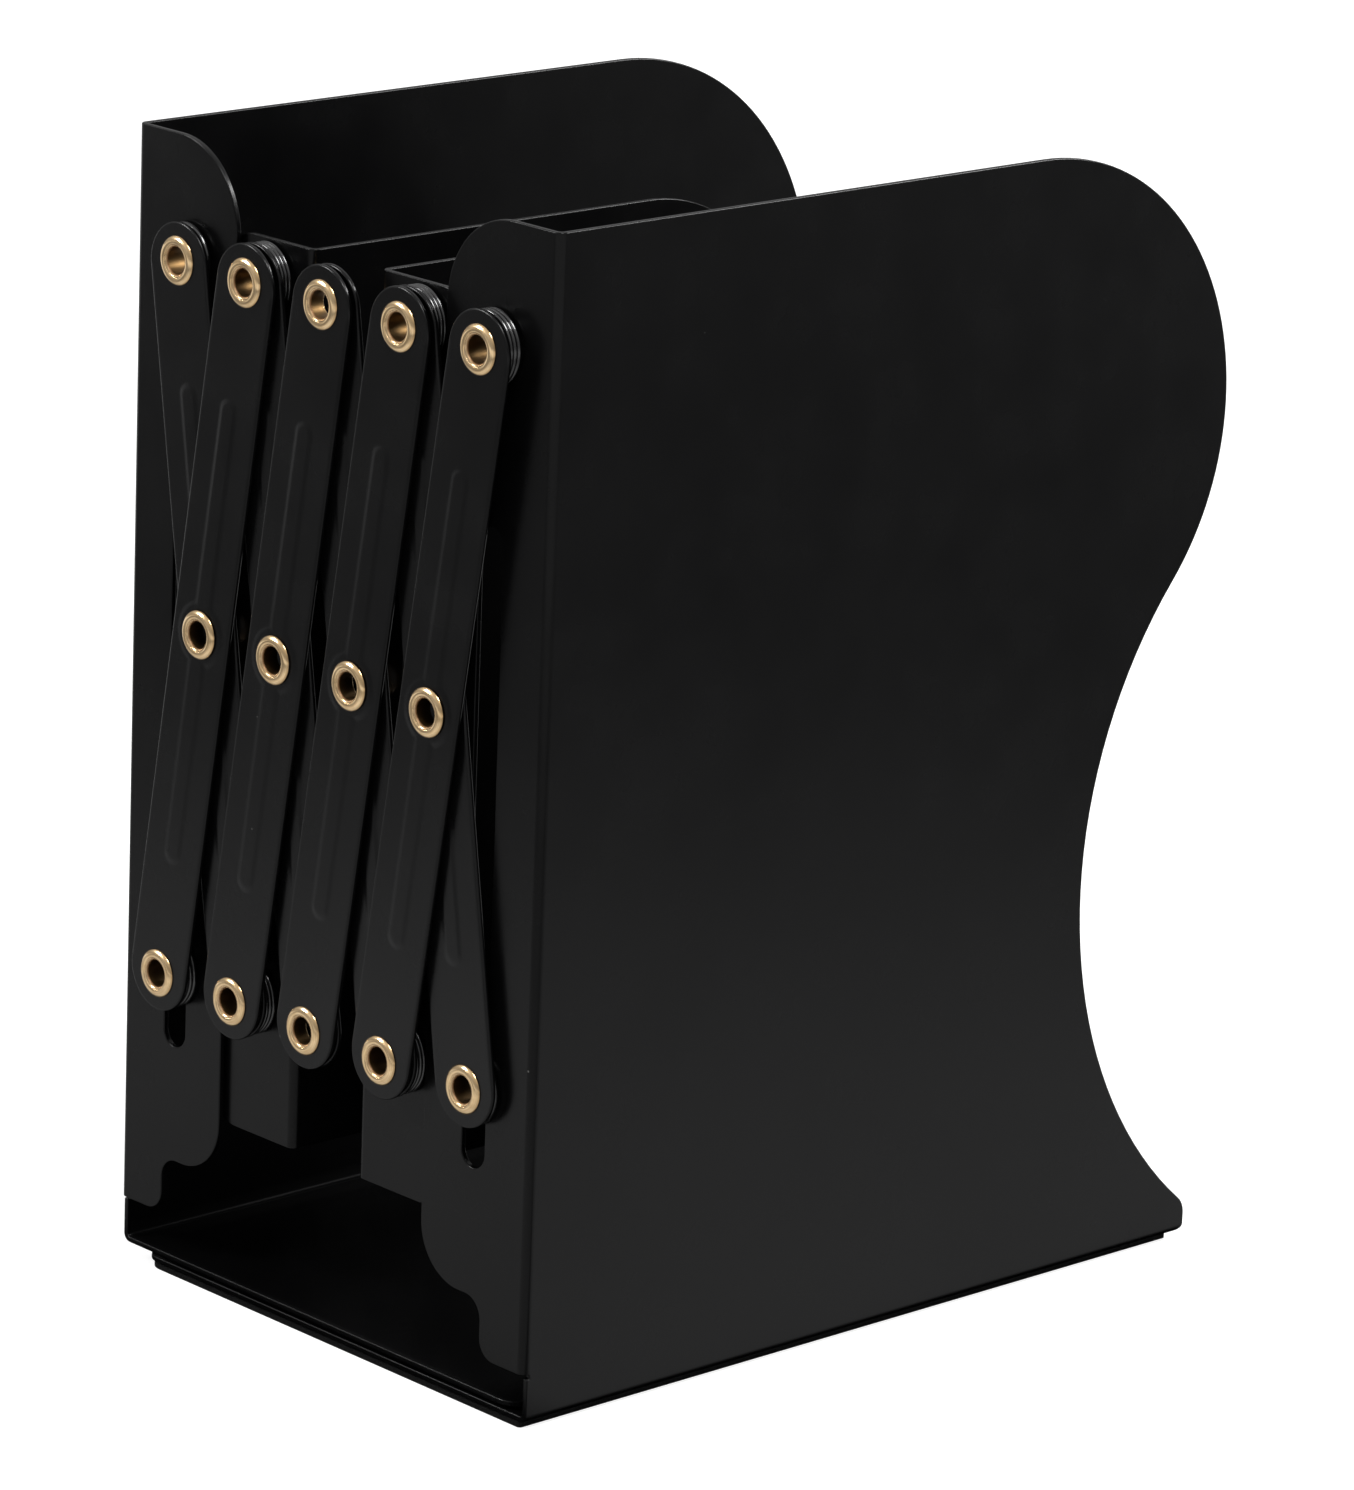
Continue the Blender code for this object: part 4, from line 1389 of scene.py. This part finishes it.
@dataclass
class Studio:
    """A pale floor and a white backdrop under soft light."""

    lights: tuple[SoftLight, ...] = (
        SoftLight("key_light", (-0.85, -1.0, 0.95), 0.40, 17.0),
        SoftLight("rim_light", (0.55, -0.30, 1.25), 0.40, 12.0),
        SoftLight("back_light", (0.62, 1.0, 0.92), 0.46, 24.0),
    )
    floor_size: float = 12.0
    floor_colour: Colour = (0.80, 0.80, 0.80)
    shown_colour: Colour = (0.35, 0.35, 0.35)
    shown_glow: float = 0.80
    near_glow: float = 0.95
    far_glow: float = 0.28
    bright_reach: float = 0.18
    glow_reach: float = 0.45
    shade_start: Span = (-0.20, -0.12)
    contact: Span = (-0.090, -0.083)
    shade_end: Span = (-0.078, -0.060)
    shade: float = 0.70
    contact_shade: float = 0.15
    behind: Span = (0.12, 0.30)
    in_front: Span = (0.50, 0.80)
    footprint_width: Span = (0.0525, 0.056)
    footprint_depth: Span = (0.080, 0.085)
    white_reach: float = 1.5
    sky: Colour = (0.35, 0.35, 0.35)
    horizon_gloss: Colour = (0.40, 0.40, 0.40)
    high_gloss: Colour = (0.9, 0.9, 0.9)
    high_range: Span = (0.25, 0.75)
    target: Point3 = (0.0, 0.0, 0.1)

    def build(self) -> None:
        """Makes the lights, the world and the floor, and sets how colours are shown."""
        for light in self.lights:
            light.build(self.target)
        self.build_world()
        self.build_floor()
        bpy.context.scene.view_settings.view_transform = "Standard"

    @staticmethod
    def seen(g: Graph) -> Socket:
        """1 for a ray that shows the background: from the camera, a gloss or through glass."""
        rays = g.add("ShaderNodeLightPath").outputs
        sharp = g.math("MAXIMUM", rays["Is Glossy Ray"], rays["Is Transmission Ray"])
        return g.math("MAXIMUM", rays["Is Camera Ray"], sharp)

    def build_world(self) -> None:
        """Makes a world that lights softly and shows as white."""
        world = bpy.data.worlds.new("white_backdrop")
        world.use_nodes = True
        bpy.context.scene.world = world
        g = Graph(world.node_tree)
        background = world.node_tree.nodes["Background"]
        rays = g.add("ShaderNodeLightPath").outputs
        height = g.split(g.add("ShaderNodeTexCoord").outputs["Generated"])["Z"]
        high = g.ramp(height, *self.high_range)
        mirrored = g.mix(high, self.horizon_gloss, self.high_gloss)
        shown = g.mix(rays["Is Camera Ray"], mirrored, (1.0, 1.0, 1.0))
        g.plug(background.inputs["Color"], g.mix(self.seen(g), self.sky, shown))

    def build_floor(self) -> None:
        """Makes the floor, which shows as white but for the bookend's shadow."""
        half = self.floor_size / 2
        corners = ((-half, -half), (half, -half), (half, half), (-half, half))
        bm = bmesh.new()
        bm.faces.new([bm.verts.new((x, y, 0.0)) for x, y in corners])
        floor = linked("floor", mesh_of(bm, "floor"))
        floor.data.materials.append(self.floor_material())

    def floor_material(self) -> bpy.types.Material:
        """A matt floor that glows for rays that show the background, less so further off.

        Returns:
            The material.
        """
        g = SurfaceGraph("pale_floor")
        g.tree.nodes.remove(g.shader)
        from_camera = g.add("ShaderNodeLightPath").outputs["Is Camera Ray"]
        x, y, _ = g.split(g.place)
        away = g.add("ShaderNodeVectorMath", {0: g.place}, operation="LENGTH").outputs["Value"]
        glow = self.floor_glow(g, x, y, away)
        shown = g.ramp(away, self.glow_reach, self.white_reach, self.shown_glow, 1.0)
        inputs = {0: from_camera, 2: glow, 3: shown}
        glow = g.add("ShaderNodeMix", inputs, data_type="FLOAT").outputs[0]
        light = g.add("ShaderNodeEmission", {"Strength": glow}).outputs[0]
        tint = g.mix(from_camera, (0.0, 0.0, 0.0), self.shown_colour)
        shown = g.add("ShaderNodeBsdfDiffuse", {"Color": tint}).outputs[0]
        shown = g.add("ShaderNodeAddShader", {0: light, 1: shown}).outputs[0]
        plain = g.add("ShaderNodeBsdfDiffuse", {"Color": self.floor_colour}).outputs[0]
        mixed = g.add("ShaderNodeMixShader", {0: self.seen(g), 1: plain, 2: shown}).outputs[0]
        g.plug(g.output.inputs["Surface"], mixed)
        return g.material

    def floor_glow(self, g: Graph, x: Socket, y: Socket, away: Socket) -> Socket:
        """How brightly the floor shows in a gloss, shaded beside the bookend and under it.

        Args:
            g: The floor's tree.
            x: The place along the row of books.
            y: The place across it.
            away: The distance from the bookend's middle.

        Returns:
            The glow's strength.
        """
        glow = g.ramp(away, self.bright_reach, self.glow_reach, self.near_glow, self.far_glow)
        shade = g.ramp(y, *self.shade_start, 1.0, self.shade)
        contact = g.ramp(y, *self.contact, 1.0, self.contact_shade)
        shade = g.math("MAXIMUM", g.times(shade, contact), g.ramp(y, *self.shade_end))
        glow = g.times(glow, shade)
        for way, reach in ((g.less(y, x), self.behind), (g.less(x, y), self.in_front)):
            glow = g.math("MAXIMUM", glow, g.ramp(way, *reach, 0.0, self.near_glow))
        beside = g.ramp(g.math("ABSOLUTE", x), *self.footprint_width)
        before = g.ramp(g.math("ABSOLUTE", y), *self.footprint_depth)
        return g.times(glow, g.math("MAXIMUM", beside, before))


@dataclass
class Bookend:
    """The whole bookend, built sub-assembly by sub-assembly."""

    finishes: Finishes
    cells: int = 4
    spaced_columns: tuple[int, ...] = (1, 2, 4, 5)

    def build(self) -> list[bpy.types.Object]:
        """Builds every piece.

        Returns:
            The finished pieces.
        """
        plates = (
            EndPlate("left_end_plate", Side.LEFT, 1),
            EndPlate("right_end_plate", Side.RIGHT, self.cells + 1),
            Divider("left_divider", Side.RIGHT, 2),
            Divider("right_divider", Side.LEFT, self.cells),
        )
        pieces = [plate.build() for plate in plates]
        arms = ScissorArms(self.finishes.arm_coat)
        for layer in Layer:
            pieces += [arms.build(layer, cell) for cell in range(1, self.cells + 1)]
        rivets = HollowRivets(self.finishes.brass)
        for row in Row:
            last = self.cells if row is Row.MIDDLE else self.cells + 1
            pieces += [rivets.build(row, number) for number in range(1, last + 1)]
        washers = StackedWashers(self.finishes.rim_coat)
        for row in (Row.TOP, Row.BOTTOM):
            pieces += [washers.build(row, number) for number in self.spaced_columns]
        return [piece.finish(self.finishes) for piece in [*pieces, *Pads().build()]]


def main() -> None:
    """Builds the studio and the bookend."""
    logging.basicConfig(level=logging.INFO, format="%(name)s %(message)s")
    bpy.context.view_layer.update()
    Camera().build()
    Studio().build()
    coats = (
        PowderCoat(),
        PowderCoat("satin_black_arm_coat", specular=0.19),
        PowderCoat("rubbed_black_spacer_coat", specular=0.85, smoothest=0.15, roughest=0.21),
    )
    finishes = Finishes(*[each.build() for each in (*coats, RolledBrass(), FoamRubber())])
    pieces = Bookend(finishes).build()
    LOG.info("%d pieces stand for %d nodes", len(pieces), len(frame["nodes"]))
    bpy.context.view_layer.update()


if __name__ == "__main__":
    main()
